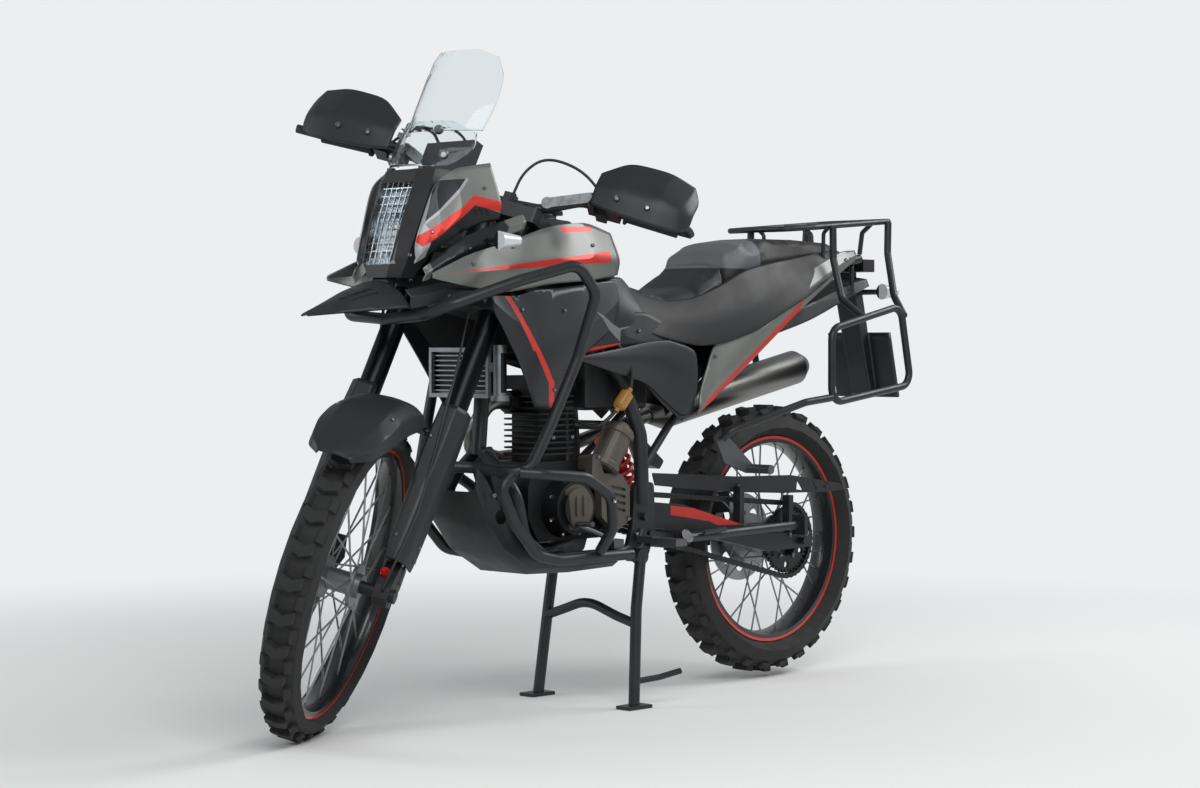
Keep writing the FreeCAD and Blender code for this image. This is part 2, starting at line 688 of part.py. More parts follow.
def make_front_cables():
    """Brake hose from the right-hand block to the caliper, and the cable from the front axle."""
    top = mm("bar_end_station")
    block = mm("bar_half_width") - 172
    gap = mm("running_clearance")
    hose = tube([(-8, -block, top + 22 + gap), (-8, -block, top + 50), (6, -228, top + 72),
                 (34, -176, top + 66), (58, -130, top + 14), (76, -112, 1270), (76, -116, 1170),
                 (58, -136, 1090), (34, -142, 1000), (8, -126, 910), (3, -110, 820), (3, -104, 700),
                 (3, -102, 580), (-14, -94, 510), (-30, -88, 470)], "3.5", 60.0)
    cable = tube([(AXLE_ADVANCE + 23.85, 100, AXLE_STATION), (AXLE_ADVANCE + 40, 102, AXLE_STATION + 4),
                  (112, 112, 412), (109, 120, 530), (108, 92, 830), (98, 62, 1028), (70 + gap, 58, 1028)],
                 "2.5", 80.0)
    node("front_cables", group(hose, cable), STEERING)


# Frame, swingarm and running gear


HEAD_FOOT = mm("head_tube_station") * math.cos(RAKE)
DOWN_TOP = (head_x(HEAD_FOOT) - 92, 0, HEAD_FOOT - 30)
DOWN_FOOT = (mm("engine_x") + 266, 0, 585)


def make_main_frame():
    """Head tube, twin spine, single downtube with cradle rails, pivot plates and subframe."""
    foot = mm("head_tube_station")
    axis = Vec(-math.sin(RAKE), 0, math.cos(RAKE))
    head = cut(cylinder("Sizes.head_tube_radius", "Sizes.head_tube_length", AXIS_FOOT + axis * foot, axis),
               cylinder("Sizes.stem_radius + 0.5", "Sizes.head_tube_length + 20",
                        AXIS_FOOT + axis * (foot - 10), axis))
    low_z = foot * math.cos(RAKE)
    pivot_x = mm("pivot_x")
    pivot_z = mm("pivot_height")
    spine = tube([(head_x(low_z + 80) - 30, 14, low_z + 80), (head_x(low_z + 50) - 90, 42, low_z + 14),
                  (700, 60, 838), (600, 84, 760), (560, 110, 620), (pivot_x, 110, pivot_z + 30)],
                 "Sizes.spine_radius", 90.0)
    down = tube([(head_x(low_z + 60) - 38, 0, low_z + 60), DOWN_TOP, DOWN_FOOT], "Sizes.spine_radius",
                120.0)
    rail = tube([(966, 0, 600), (962, 60, 555), (956, 112, 500), (930, 112, 400), (860, 112, 352),
                 (640, 112, 352),
                 (pivot_x + 12, 110, 366), (pivot_x, 110, pivot_z - 30)], "Sizes.rail_radius", 60.0)
    sub = tube([(648, 73, 798), (520, 88, 862), (300, 94, 925), (0, 94, 1000), (-290, 76, 1046)],
               "Sizes.subframe_radius", 120.0)
    stay = tube([(pivot_x, 110, pivot_z + 110), (440, 90, 640), (120, 88, 900), (24, 92, 992)],
                "Sizes.subframe_radius - 1.5", 90.0)
    side_plate = plate([(pivot_x - 38, pivot_z + 78), (pivot_x + 26, pivot_z + 78),
                        (pivot_x + 34, pivot_z - 20),
                        (pivot_x + 58, pivot_z - 92), (pivot_x - 20, pivot_z - 92),
                        (pivot_x - 44, pivot_z - 30)],
                       "12", 99, 12.0, [(pivot_x, pivot_z, "Sizes.axle_radius + Sizes.running_clearance")])
    half = fused(fused(spine, side_plate, rail), fused(sub, stay))
    pieces = [fused(head, down)]
    crosses = [((-286, 76, 1045), "Sizes.subframe_radius"), ((330, 93, 916), "Sizes.subframe_radius"),
               ((562, 108, 640), "Sizes.subframe_radius")]
    for (x, y, z), radius in crosses:
        pieces.append(cylinder(radius, f"{2 * y}", Vec(x, -y, z), Vec(0, 1, 0)))
    stand_x = mm("side_stand_x")
    stand_z = mm("side_stand_height")
    bracket = plate([(540, 400), (540, 362), (stand_x - 14, stand_z - 28),
                     (stand_x - 14, stand_z + 4)], "8", 116, 6.0)
    spacer = box((516, 105, 368), (536, 118, 394))
    boss = cylinder("14", "18", Vec(stand_x, 146, stand_z) - SPLAY_AXIS * 30.3, SPLAY_AXIS)
    stand_boss = cylinder("14", "26", Vec(mm("centre_stand_x"), 99, mm("centre_stand_height")), Vec(0, 1,
                                                                                                    0))
    front = mm("engine_x") + 172 + mm("running_clearance")
    hanger = plate([(976, 596), (952, 604), (front, 500), (front, 462), (930, 470)], "8", 20, 6.0)
    tank_seat = box((752, 45, 875), (768, 65, 911.9))
    side_boss = cylinder("7", "38.7", Vec(520, 90, 862), Vec(0, 1, 0))
    tail_boss = cylinder("7", "54", Vec(120, 88.6, 900), Vec(0, 1, 0))
    skid_tab = box((764, 96.1, 336), (784, 108, 347))
    mounts = pair(hanger) + pair(tank_seat) + pair(side_boss) + pair(tail_boss) + pair(skid_tab)
    lamp_arm = cylinder("10", "147.7", AXIS_FOOT + Vec(-504, 0, 1040), Vec(1, 0, 0))
    body = fused(fused(*pair(half)), *pieces, bracket, spacer, boss, *pair(stand_boss))
    node("main_frame", fused(body, lamp_arm, *mounts), CHASSIS)


def make_swingarm():
    """Two tapered arms, a cross tube, the pivot tube and the rear axle."""
    pivot_x = mm("pivot_x")
    pivot_z = mm("pivot_height")
    axle_z = mm("rear_axle_height")
    # place, lower and upper height, inner and outer side
    rows = [(pivot_x + 20, pivot_z - 18, pivot_z + 20, 62, 90),
            (pivot_x - 52, pivot_z - 30, pivot_z + 30, 62, 90),
            (pivot_x - 130, pivot_z - 40, pivot_z + 22, 92, 118), (120, axle_z - 20, axle_z + 24, 98, 124),
            (-46, axle_z - 17, axle_z + 19, 100, 122)]
    arm = loft([(x, [(inner, low), (outer, low), (outer, high), (inner, high)])
                for x, low, high, inner, outer in rows], "x")
    cross = box((pivot_x - 88, -66, pivot_z - 20), (pivot_x - 50, 66, pivot_z + 20))
    pivot = cylinder("22", "180", Vec(pivot_x, -90, pivot_z), Vec(0, 1, 0))
    bolt = cylinder("Sizes.axle_radius", "250", Vec(pivot_x, -125, pivot_z), Vec(0, 1, 0))
    axle = cylinder("Sizes.axle_radius", "284", Vec(0, -142, axle_z), Vec(0, 1, 0))
    start = mm("rear_hub_width") / 2 + mm("running_clearance")
    spacer = cylinder("Sizes.axle_radius + 5", f"{101 - start}", Vec(0, start, axle_z), Vec(0, 1, 0))
    node("swingarm", fused(*pair(arm), cross, pivot, bolt, axle, *pair(spacer)), CHASSIS)


ARM_TOP = [(mm("pivot_x") - 52, mm("pivot_height") + 30), (mm("pivot_x") - 130, mm("pivot_height") + 22),
           (120, mm("rear_axle_height") + 24), (-46, mm("rear_axle_height") + 19)]


def coil(low, line, radius, height, turns, steps):
    """A spring's wire with six flats, wound about a line from its low end."""
    wire = [(6 * math.cos(math.radians(a)), 6 * math.sin(math.radians(a))) for a in range(0, 360, 60)]
    sections = []
    for i in range(turns * steps + 1):
        about = FreeCAD.Placement(low + line * (height * i / (turns * steps)), Rot(Vec(0, 0, 1), line))
        turn = FreeCAD.Placement(Vec(), Rot(Vec(0, 0, 1), 360 * i / steps))
        place = about * turn * FreeCAD.Placement(Vec(radius, 0, 0), Rot(Vec(1, 0, 0), 90))
        sections.append(sketch(wire, place))
    obj = doc.addObject("Part::Loft", "Coil")
    obj.Sections = sections
    obj.Solid = True
    obj.Ruled = True
    return obj


def make_shock():
    """Damper with its coil spring, between the frame and the swingarm's link."""
    low = Vec(479, 0, 468)
    line = Vec(562, 0, 640) - low
    length = line.Length - mm("subframe_radius") - mm("running_clearance")
    line.normalize()
    body = cylinder("19", f"{length * 0.55}", low + line * length * 0.42, line)
    rod = cylinder("7", f"{length}", low, line)
    pieces = [body, rod, cylinder("36", "6", low + line * 16, line), cylinder("36", "6",
                                                                              low + line * (length - 24),
                                                                              line)]
    pieces.append(coil(low + line * 25, line, 29.5, length - 52, 6, 10))
    pieces.append(box((466, -13, mm("pivot_height") + 20 + mm("running_clearance")), (494, 13, 474)))
    node("shock", fused(*pieces), CHASSIS)


def chain_line():
    """The chain's pitch line round both sprockets: its length, and its point and normal at a place."""
    out = mm("chain_clearance") + mm("chain_height") / 2
    rear = mm("sprocket_radius") + out
    front = mm("front_sprocket_radius") + out
    front_centre = Vec(mm("engine_x") - 75, mm("engine_height") - 20, 0)
    rear_centre = Vec(0, mm("rear_axle_height"), 0)
    line = front_centre - rear_centre
    heading = math.atan2(line.y, line.x)
    open_angle = math.acos((rear - front) / line.Length)
    run = math.sqrt(line.Length ** 2 - (rear - front) ** 2)
    over_front = 2 * open_angle * front
    over_rear = (2 * math.pi - 2 * open_angle) * rear

    def at(place):
        if place < run:
            normal = heading + open_angle
            start = rear_centre + Vec(math.cos(normal), math.sin(normal), 0) * rear
            return start + Vec(math.sin(normal), -math.cos(normal), 0) * place, normal
        if place < run + over_front:
            normal = heading + open_angle - (place - run) / front
            return front_centre + Vec(math.cos(normal), math.sin(normal), 0) * front, normal
        if place < 2 * run + over_front:
            normal = heading - open_angle
            start = front_centre + Vec(math.cos(normal), math.sin(normal), 0) * front
            return start + Vec(math.sin(normal), -math.cos(normal), 0) * (place - run - over_front), normal
        normal = heading - open_angle - (place - 2 * run - over_front) / rear
        return rear_centre + Vec(math.cos(normal), math.sin(normal), 0) * rear, normal

    return 2 * run + over_front + over_rear, at


def make_chain():
    """The chain as one closed loop, with each link narrower between its pins."""
    length, at = chain_line()
    links = round(length / mm("chain_pitch"))
    inside = []
    outside = []
    for i in range(2 * links):
        point, normal = at(length * i / (2 * links))
        half = mm("chain_height") / 2 * (1 if i % 2 else 0.66)
        across = Vec(math.cos(normal), math.sin(normal), 0) * half
        outside.append(point + across)
        inside.append(point - across)
    start = mm("sprocket_offset") - mm("chain_width") / 2
    outline = doc.addObject("Sketcher::SketchObject", "ChainRun")
    outline.Placement = FreeCAD.Placement(Vec(0, start, 0), ALONG_Y)
    for edge in (outside, inside):
        outline.addGeometry(rounded(edge, 0.0, closed=True), False)
    loop = doc.addObject("Part::Extrusion", "Chain")
    loop.Base = outline
    loop.DirMode = "Custom"
    loop.Dir = Vec(0, 1, 0)
    loop.Solid = True
    bind(loop, LengthFwd="Sizes.chain_width")
    node("chain", loop, CHASSIS)


def arm_top(x):
    """Height of the swingarm's upper edge at a place."""
    for (x1, z1), (x0, z0) in zip(ARM_TOP, ARM_TOP[1:]):
        if x0 <= x <= x1:
            return z0 + (z1 - z0) * (x - x0) / (x1 - x0)
    return ARM_TOP[-1][1]


def make_chain_guard():
    """Guard over the chain's upper run, with three cut-outs near its end."""
    y = mm("sprocket_offset") + mm("chain_width") / 2 + 6
    slope = (mm("pivot_height") - mm("rear_axle_height")) / mm("pivot_x")
    # place, height over the line from the rear axle to the pivot
    upper = [(500, 106), (380, 117), (200, 133), (0, 160), (-190, 162), (-215, 150), (-150, 136), (30, 112),
             (200, 95), (380, 83), (490, 78)]
    guard = plate([(x, mm("rear_axle_height") + slope * x + z) for x, z in upper], "Sizes.panel_wall", y,
                  3.0)
    windows = []
    for x in (-20, -75, -125):
        z = mm("rear_axle_height") + 124
        windows.append(plate([(x, z), (x - 28, z - 4), (x - 4, z + 24)], "40", y - 10, 2.0))
    feet = []
    for x in (196, 12):
        low = arm_top(x + 16) + mm("running_clearance")
        feet.append(box((x, y, low), (x + 16, 112, mm("rear_axle_height") + slope * x + 110)))
    node("chain_guard", fused(cut(guard, *windows), *feet), CHASSIS)


# Engine


def make_engine():
    """Crankcase with its side covers, then the finned cylinder and head."""
    x = mm("engine_x")
    z = mm("engine_height")
    half = mm("case_half_width")
    reach = mm("cover_reach")
    case = [(x - 110, z + 62), (x - 20, z + 78), (x + 20, z + 96), (x + 150, z + 96), (x + 172, z + 40),
            (x + 172, z - 30),
            (x + 140, z - 84), (x - 90, z - 84), (x - 116, z - 60), (x - 116, z + 20)]
    block = plate(case, "Sizes.case_half_width * 2", -half, 16.0)
    left = cone("70", "60", "Sizes.cover_reach - Sizes.case_half_width", Vec(x + 62, half, z - 8), Vec(0,
                                                                                                       1,
                                                                                                       0))
    left_rim = cylinder("44", f"{reach - half + 10}", Vec(x + 62, half, z - 8), Vec(0, 1, 0))
    right = cone("84", "76", "Sizes.cover_reach - Sizes.case_half_width", Vec(x + 50, -half, z - 4),
                 Vec(0, -1, 0))
    right_low = cone("60", "52", "30", Vec(x - 30, -half, z + 10), Vec(0, -1, 0))
    centre = Vec(x - 75, half, z - 20)
    sprocket = cylinder("Sizes.front_sprocket_radius + Sizes.chain_clearance - Sizes.running_clearance",
                        f"{mm('sprocket_offset') + 3.5 - half}", centre, Vec(0, 1, 0))
    node("engine_case", fused(block, left, left_rim, right, right_low, sprocket), CHASSIS)
    cover = [(x - 20, z + 66), (x - 6, z + 112), (x + 16, z + 108), (x + 18, z + 64), (x - 12, z + 38),
             (x - 14, z - 34),
             (x - 60, z - 70), (x - 106, z - 44), (x - 106, z + 30), (x - 80, z + 62)]
    outer = mm("sprocket_offset") + mm("chain_width") / 2 + 4
    plate_piece = plate(cover, "22", outer, 8.0)
    slots = []
    for i in range(4):
        low = z + 22 - 16 * i
        slot = [(x - 92, low), (x - 44, low + 10), (x - 44, low + 17), (x - 92, low + 7)]
        slots.append(plate(slot, "8", outer + 16, 2.0))
    arm = [(x - 18, z + 66), (x - 6, z + 108), (x + 14, z + 104), (x + 14, z + 74)]
    seat = plate(arm, f"{outer - half + 1}", half + mm("running_clearance"), 4.0)
    node("sprocket_cover", fused(cut(plate_piece, *slots), seat), CHASSIS)

    centre = Vec(mm("cylinder_x"), 0, z + 96 + mm("running_clearance"))
    fins = []
    for i in range(int(mm("fin_count"))):
        low = centre.z + 14 + i * mm("fin_pitch")
        outline = [(centre.x - 58, -66), (centre.x + 62, -66), (centre.x + 62, 66), (centre.x - 58, 66)]
        fin = doc.addObject("Part::Extrusion", "Fin")
        fin.Base = sketch(outline, FreeCAD.Placement(Vec(0, 0, low), Rot()), 22.0)
        fin.DirMode = "Custom"
        fin.Dir = Vec(0, 0, 1)
        fin.Solid = True
        bind(fin, LengthFwd="Sizes.fin_thickness")
        fins.append(fin)
    height = mm("fin_count") * mm("fin_pitch") + 20
    barrel = box((centre.x - 42, -44, centre.z), (centre.x + 46, 44, centre.z + height))
    head = box((centre.x - 50, -52, centre.z + height - 2), (centre.x + 54, 52, centre.z + height + 30))
    port = cylinder("25", "46", Vec(centre.x + 34, -28, 700), Vec(1, 0, 0))
    node("cylinder", fused(*fins, barrel, head, port), CHASSIS)


def make_exhaust():
    """Header down the right-hand side of the engine and a high silencer."""
    port = mm("cylinder_x") + 80 + mm("running_clearance")
    header = tube([(port, -28, 700), (port + 52, -28, 700), (925, -62, 640), (890, -108, 590),
                   (780, -134, 566),
                   (640, -148, 572), (520, -148, 592), (400, -136, 624), (276, -125, 656)], "17", 60.0)
    start = Vec(295, -124, 652)
    line = Vec(-600, -20, 118)
    line.normalize()
    can = cylinder("44", "540", start + line * 60, line)
    inlet = cone("20", "44", "50", start + line * 10, line)
    outlet = cone("44", "26", "34", start + line * 600, line)
    node("exhaust", fused(header, can, inlet, outlet), CHASSIS)


def make_oil_cooler():
    """Cooler on the downtube: an open frame round finned tubes, with a canister at its left end."""
    line = Vec(*DOWN_TOP) - Vec(*DOWN_FOOT)
    x = DOWN_FOOT[0] + (800 - DOWN_FOOT[2]) * line.x / line.z
    front = x + mm("spine_radius") * line.Length / line.z + 0.1
    core = box((x + 50, -92, 722), (x + 60, 84, 812))
    fins = [box((x + 45, -92, 726 + i * 11), (x + 67, 84, 729 + i * 11)) for i in range(8)]
    rails = [box((x + 39, -100, z), (x + 75, 92, z + 9)) for z in (712, 813)]
    ends = [box((x + 39, y, 721), (x + 75, y + 8, 813)) for y in (-100, 84)]
    canister = cylinder("15", "112", Vec(x + 56, 110, 716))
    foot = cylinder("21", "12", Vec(x + 56, 110, 706))
    link = box((x + 48, 90, 770), (x + 66, 98, 790))
    bracket = box((front, -14, 800), (x + 52, 14, 812))
    node("oil_cooler", fused(core, *fins, *rails, *ends, canister, foot, link, bracket), CHASSIS)


def make_skid_plate():
    """Bent sheet under the engine, turned up in front and along both sides."""
    # place, floor height, half width, height of the sides
    rows = [(610, 322, 84, 22), (760, 318, 88, 30), (890, 322, 88, 48), (975, 372, 88, 78),
            (1030, 440, 86, 96),
            (1052, 508, 80, 54)]
    stations = []
    for x, z, half, side in rows:
        edge = both_sides([(half + 4, z + side), (half, z + 10), (half - 14, z), (0, z)])
        stations.append((x, edge))
    hole = cylinder("17", "240", Vec(985, -120, 452), Vec(0, 1, 0))
    node("skid_plate", cut(shell(stations, "x", -mm("panel_wall")), hole), CHASSIS)


def make_crash_bars():
    """Round bars ahead of and beside the engine, joined across the front."""
    upper = tube([(1236, 0, 884), (1232, 120, 892), (1196, 176, 916), (1060, 232, 966),
                  (915, 262, 1003), (858, 262, 940),
                  (880, 226, 800), (938, 200, 654), (978, 178, 560), (1010, 150, 552), (1036, 60, 560),
                  (1036, 0, 560)],
                 "Sizes.crash_bar_radius", 46.0)
    loop = tube([(1000, 168, 552), (960, 200, 548), (850, 222, 538), (770, 222, 492), (742, 200, 420),
                 (742, 160, 366)],
                "Sizes.crash_bar_radius", 60.0)
    low = tube([(1006, 152, 548), (1040, 150, 520), (1000, 152, 440), (930, 150, 366), (860, 150, 352),
                (630, 150, 352)],
               "Sizes.crash_bar_radius", 60.0)
    bracket = box((700, 125 + mm("running_clearance"), 344), (724, 142, 360))
    node("crash_bars", fused(*pair(upper), *pair(loop), *pair(low), *pair(bracket)), CHASSIS)


# Bodywork


def make_tank():
    # place, floor, top, half width at the floor, at the widest and at the shoulder, height of the widest
    rows = [(586, 872, 985, 50, 74, 46, 940), (660, 880, 1082, 78, 112, 70, 985),
            (760, 915, 1118, 92, 140, 86, 1010),
            (830, 945, 1116, 92, 136, 84, 1030), (884, 985, 1088, 66, 92, 60, 1040)]
    sections = []
    for x, low, high, foot, wide, shoulder, middle in rows:
        half = [(foot, low), (wide, middle), (wide - 8, middle + (high - middle) * 0.45),
                (shoulder, high - 12)]
        sections.append((x, half + [(0, high)] + [(-u, v) for u, v in reversed(half)]))
    tank = loft(sections, "x")
    cap = cylinder("40", "14", Vec(778, 0, 1110))
    upper = cylinder("8", "27", Vec(760, 130, 1010), Vec(0, 1, 0))
    lower = cylinder("8", "38.5", Vec(760, 100, 945), Vec(0, 1, 0))
    node("fuel_tank", fused(tank, cap, *pair(upper), *pair(lower)), CHASSIS)


def side_panel(rows, wall):
    """A panel on the left side. Each row: place, then y and z from its lower to its upper edge."""
    stations = []
    for x, *flat in rows:
        stations.append((x, list(zip(flat[0::2], flat[1::2]))))
    return shell(stations, "x", wall)


def make_tank_shrouds():
    wall = -mm("panel_wall")
    upper = side_panel([
        (1255, 172, 968, 176, 974, 172, 980),
        (1150, 178, 950, 190, 982, 172, 1022),
        (1040, 168, 940, 186, 990, 166, 1048),
        (900, 158, 962, 178, 1010, 152, 1088),
        (760, 152, 972, 168, 1020, 130, 1104),
        (655, 130, 986, 140, 1020, 108, 1082)], wall)
    node("tank_shrouds", group(*pair(upper)), CHASSIS)
    lower = side_panel([
        (1078, 168, 905, 172, 918, 164, 934),
        (1000, 164, 800, 172, 870, 160, 934),
        (935, 150, 692, 166, 800, 156, 950),
        (880, 146, 690, 164, 800, 150, 952),
        (790, 146, 800, 158, 860, 146, 962),
        (655, 128, 872, 138, 920, 126, 976)], wall)
    node("lower_shrouds", group(*pair(lower)), CHASSIS)


def make_fairing():
    """Cowl sides behind the lamp, each with a crease, and the wings under them."""
    wall = -mm("panel_wall")
    cowl = side_panel([
        (-274, 92, 1000, 100, 1012, 92, 1040),
        (-320, 118, 1034, 130, 1064, 104, 1172),
        (-370, 132, 1068, 146, 1112, 112, 1206),
        (-430, 140, 1092, 152, 1130, 116, 1216),
        (-470, 146, 1098, 156, 1132, 118, 1222)], wall)
    wing = side_panel([
        (-282, 110, 962, 122, 978, 112, 992),
        (-360, 150, 1000, 160, 1030, 142, 1056),
        (-450, 158, 1052, 168, 1074, 150, 1088),
        (-535, 156, 1078, 164, 1096, 152, 1112)], wall)
    strap = [box((-466, 136, 1078), (-450, 140, 1106)), box((-466, 136, 1100), (-450, 144, 1106)),
             box((-466, 136, 1078), (-450, 148.4, 1084))]
    node("fairing", group(*pair(fused(cowl, *strap)), *pair(wing)), COCKPIT)


# The lamp's front: height, place ahead of the steering axis' foot, half width, depth
LAMP_ROWS = [(972, -248, 52, 66), (1010, -248, 74, 90), (1090, -274, 84, 100), (1170, -304, 88, 96),
             (1206, -322, 80, 80)]


def make_headlight():
    """Tall lamp that leans back: a housing with a recess, two round lamps and a wire grille in it."""
    sections = []
    for z, x, half, depth in LAMP_ROWS:
        sections.append((z, [(x, -half * 0.6), (x, half * 0.6), (x - 22, half), (x - depth, half * 0.8),
                             (x - depth, -half * 0.8), (x - 22, -half)]))
    recess = loft([(z, [(x + 8, -half), (x + 8, half), (x - 30, half), (x - 30, -half)])
                   for z, x, half in ((1000, -246, 42), (1090, -272, 49), (1178, -305, 51))], "z")
    lean = Vec(math.cos(math.radians(20)), 0, math.sin(math.radians(20)))
    lamps = [cylinder("30", "22", Vec(x - 38, 0, z), lean) for z, x in ((1046, -260), (1126, -288))]
    wires = []
    for y in (-34, -17, 0, 17, 34):
        wire = [(-254, 1000), (-280, 1090), (-312, 1178), (-315, 1178), (-283, 1089), (-257, 1000)]
        wires.append(plate(wire, "2.4", y - 1.2))
    for i in range(10):
        z = 1012 + 17 * i
        x = -246 - (z - 1000) * 0.33
        wires.append(box((x - 10, -52, z - 1.2), (x - 7, 52, z + 1.2)))
    boss = cylinder("6", "59.8", Vec(-345, 66, 1100), Vec(0, 1, 0))
    seat = box((-340, 44, 1200), (-328, 58, 1212 - mm("running_clearance")))
    housing = cut(loft(sections, "z"), recess)
    node("headlight", fused(housing, *lamps, *wires, *pair(boss), *pair(seat)), COCKPIT)


def make_beak():
    """Beak over the front wheel with a vent in its top, and the cheeks behind it."""
    # place, top, half width, drop of the edge
    rows = [(-51, 892, 10, 4), (-110, 916, 44, 22), (-170, 940, 78, 40), (-220, 956, 104, 52),
            (-242, 962, 112, 56)]
    stations = []
    for x, top, half, drop in rows:
        edge = both_sides([(half, top - drop), (half * 0.72, top - drop * 0.4), (half * 0.3, top - 2),
                           (0, top)])
        stations.append((x, edge))
    tongue = plate([(-282, 971.7), (-258, 971.7), (-254, 960), (-238, 961.5), (-226, 958.5),
                    (-226, 948), (-278, 948)], "48", -24)
    vents = [box((-205, 26, 900), (-130, 34, 990), Rot(Vec(0, 0, 1), -14), Vec(-168, 30, 0)),
             box((-205, 44, 900), (-146, 52, 990), Rot(Vec(0, 0, 1), -14), Vec(-168, 48, 0))]
    nose = cut(shell(stations, "x", mm("panel_wall")), *pair(vents[0]), *pair(vents[1]))
    cheek = side_panel([
        (-242.4, 114, 904, 120, 930, 100, 946),
        (-330, 148, 924, 156, 948, 134, 962),
        (-400, 160, 936, 164, 946, 152, 954)], -mm("panel_wall"))
    node("beak", group(fused(nose, tongue), *pair(cheek)), COCKPIT)


def bowed(place, half, depth, count=4):
    """Half of a bowed screen's line: the centre is at the place, the edges lie further back."""
    edge = []
    for i in range(count + 1):
        share = 1 - i / count
        edge.append((place - depth * share * share, half * share))
    return edge + [(x, -y) for x, y in reversed(edge) if y != 0]


def make_windscreen():
    wall = -mm("screen_wall")
    # height, place of the centre, half width, depth of the bow
    shield_rows = [(1212, -314, 92, 60), (1250, -330, 122, 92), (1284, -350, 116, 84), (1312, -368, 70, 34)]
    shield = shell([(z, bowed(x, half, depth)) for z, x, half, depth in shield_rows], "z", wall)
    deflector_rows = [(1290, -376, 118, 72), (1340, -402, 128, 74), (1410, -440, 126, 66),
                      (1456, -466, 104, 44), (1474, -476, 62, 16)]
    deflector = shell([(z, bowed(x, half, depth)) for z, x, half, depth in deflector_rows], "z", wall)
    node("windscreen", shield, COCKPIT)
    node("wind_deflector", deflector, COCKPIT)


def make_instruments():
    """Instrument case with its sunk display, on a stalk from the lamp."""
    case = cut(box((139, -78, 1258), (165, 78, 1346)), box((130, -66, 1268), (143, 66, 1336)))
    case.Placement = FreeCAD.Placement(Vec(), TILT) * case.Placement
    stalk = box((-440, -20, 1186), (-402, 20, 1200))
    node("instruments", fused(case, stalk), COCKPIT)


def make_side_panels():
    wall = -mm("panel_wall")
    front = side_panel([
        (645, 122, 808, 134, 850, 122, 900),
        (560, 126, 740, 142, 830, 128, 905),
        (500, 128, 690, 146, 800, 130, 880),
        (440, 132, 650, 148, 760, 132, 842),
        (404, 134, 676, 148, 740, 134, 806)], wall)
    node("side_panels", group(*pair(front)), CHASSIS)
    tail = side_panel([
        (398, 140, 662, 152, 680, 146, 706),
        (330, 142, 706, 158, 760, 140, 846),
        (200, 142, 792, 156, 850, 136, 926),
        (20, 132, 906, 146, 950, 124, 990),
        (-180, 106, 1010, 116, 1034, 102, 1062),
        (-244, 100, 1040, 106, 1052, 98, 1066)], wall)
    node("tail_panels", group(*pair(tail)), CHASSIS)


def make_seats():
    # place, floor, top, half width at the floor, at the edge
    rider_rows = [(585, 898, 1000, 60, 52), (540, 892, 968, 76, 70), (450, 894, 942, 100, 104),
                  (360, 920, 960, 112, 122),
                  (300, 938, 1000, 110, 118), (262, 950, 1034, 108, 110)]
    pillion_rows = [(258, 953, 1042, 112, 108), (200, 968, 1072, 112, 112), (100, 994, 1084, 110, 116),
                    (-60, 1022, 1086, 90, 96),
                    (-200, 1044, 1082, 74, 80), (-235, 1056, 1076, 62, 66)]
    for label, rows in (("rider_seat", rider_rows), ("passenger_seat", pillion_rows)):
        sections = []
        for x, low, high, foot, edge in rows:
            half = [(foot, low), (edge, low + (high - low) * 0.45), (edge * 0.86, high - 8),
                    (edge * 0.45, high)]
            sections.append((x, half + [(-u, v) for u, v in reversed(half)]))
        node(label, loft(sections, "x"), CHASSIS)


def make_racks():
    """Luggage rack over the tail, and a pannier loop on each side."""
    rail = tube([(30, 0, 1112), (20, 96, 1112), (-60, 118, 1118), (-360, 118, 1142), (-382, 90, 1144),
                 (-384, 0, 1144)],
                "Sizes.rack_tube_radius", 30.0)
    bars = []
    for x in (-40, -130, -220, -310):
        z = 1112 + (20 - x) * 0.08 - 3
        bars.append(cylinder("5", "230", Vec(x, -115, z + 2), Vec(0, 1, 0)))
    post_front = tube([(-120, 118, 1122), (-120, 98, 1106), (-120, 96, 1030.4)], "5", 10.0)
    post_rear = tube([(-292, 118, 1137), (-292, 84, 1112), (-289, 78, 1056.8)], "6", 10.0)
    node("luggage_rack", fused(*pair(rail), *bars, *pair(post_front), *pair(post_rear)), CHASSIS)
    loop = [Vec(34, 250, 686), Vec(34, 250, 866), Vec(-236, 250, 924), Vec(-278, 250, 728)]
    line = doc.addObject("Part::Feature", "Loop")
    line.Shape = Part.Wire([piece.toShape() for piece in rounded(loop, 34.0, closed=True)])
    circle = bind(doc.addObject("Part::Circle", "Section"), Radius="Sizes.pannier_tube_radius")
    first = line.Shape.Edges[0]
    start = first.FirstParameter
    circle.Placement = FreeCAD.Placement(first.valueAt(start), Rot(Vec(0, 0, 1), first.tangentAt(start)))
    hoop = doc.addObject("Part::Sweep", "Hoop")
    hoop.Sections = [circle]
    hoop.Spine = (line, [f"Edge{i + 1}" for i in range(len(line.Shape.Edges))])
    hoop.Solid = True
    stay = tube([(34, 250, 700), (120, 240, 690), (316, 178, 626),
                 (326, 156.6, 606)], "Sizes.pannier_tube_radius", 40.0)
    upper = tube([(-90, 250, 893), (-104, 170, 940), (-112, 136, 1040),
                  (-112, 134.4, 1122)], "Sizes.pannier_tube_radius", 30.0)
    rear = tube([(-250, 250, 900), (-300, 180, 950), (-330, 136, 1060),
                 (-334, 134.4, 1138)], "Sizes.pannier_tube_radius", 30.0)
    node("pannier_racks", group(*pair(fused(hoop, stay, upper, rear))), CHASSIS)


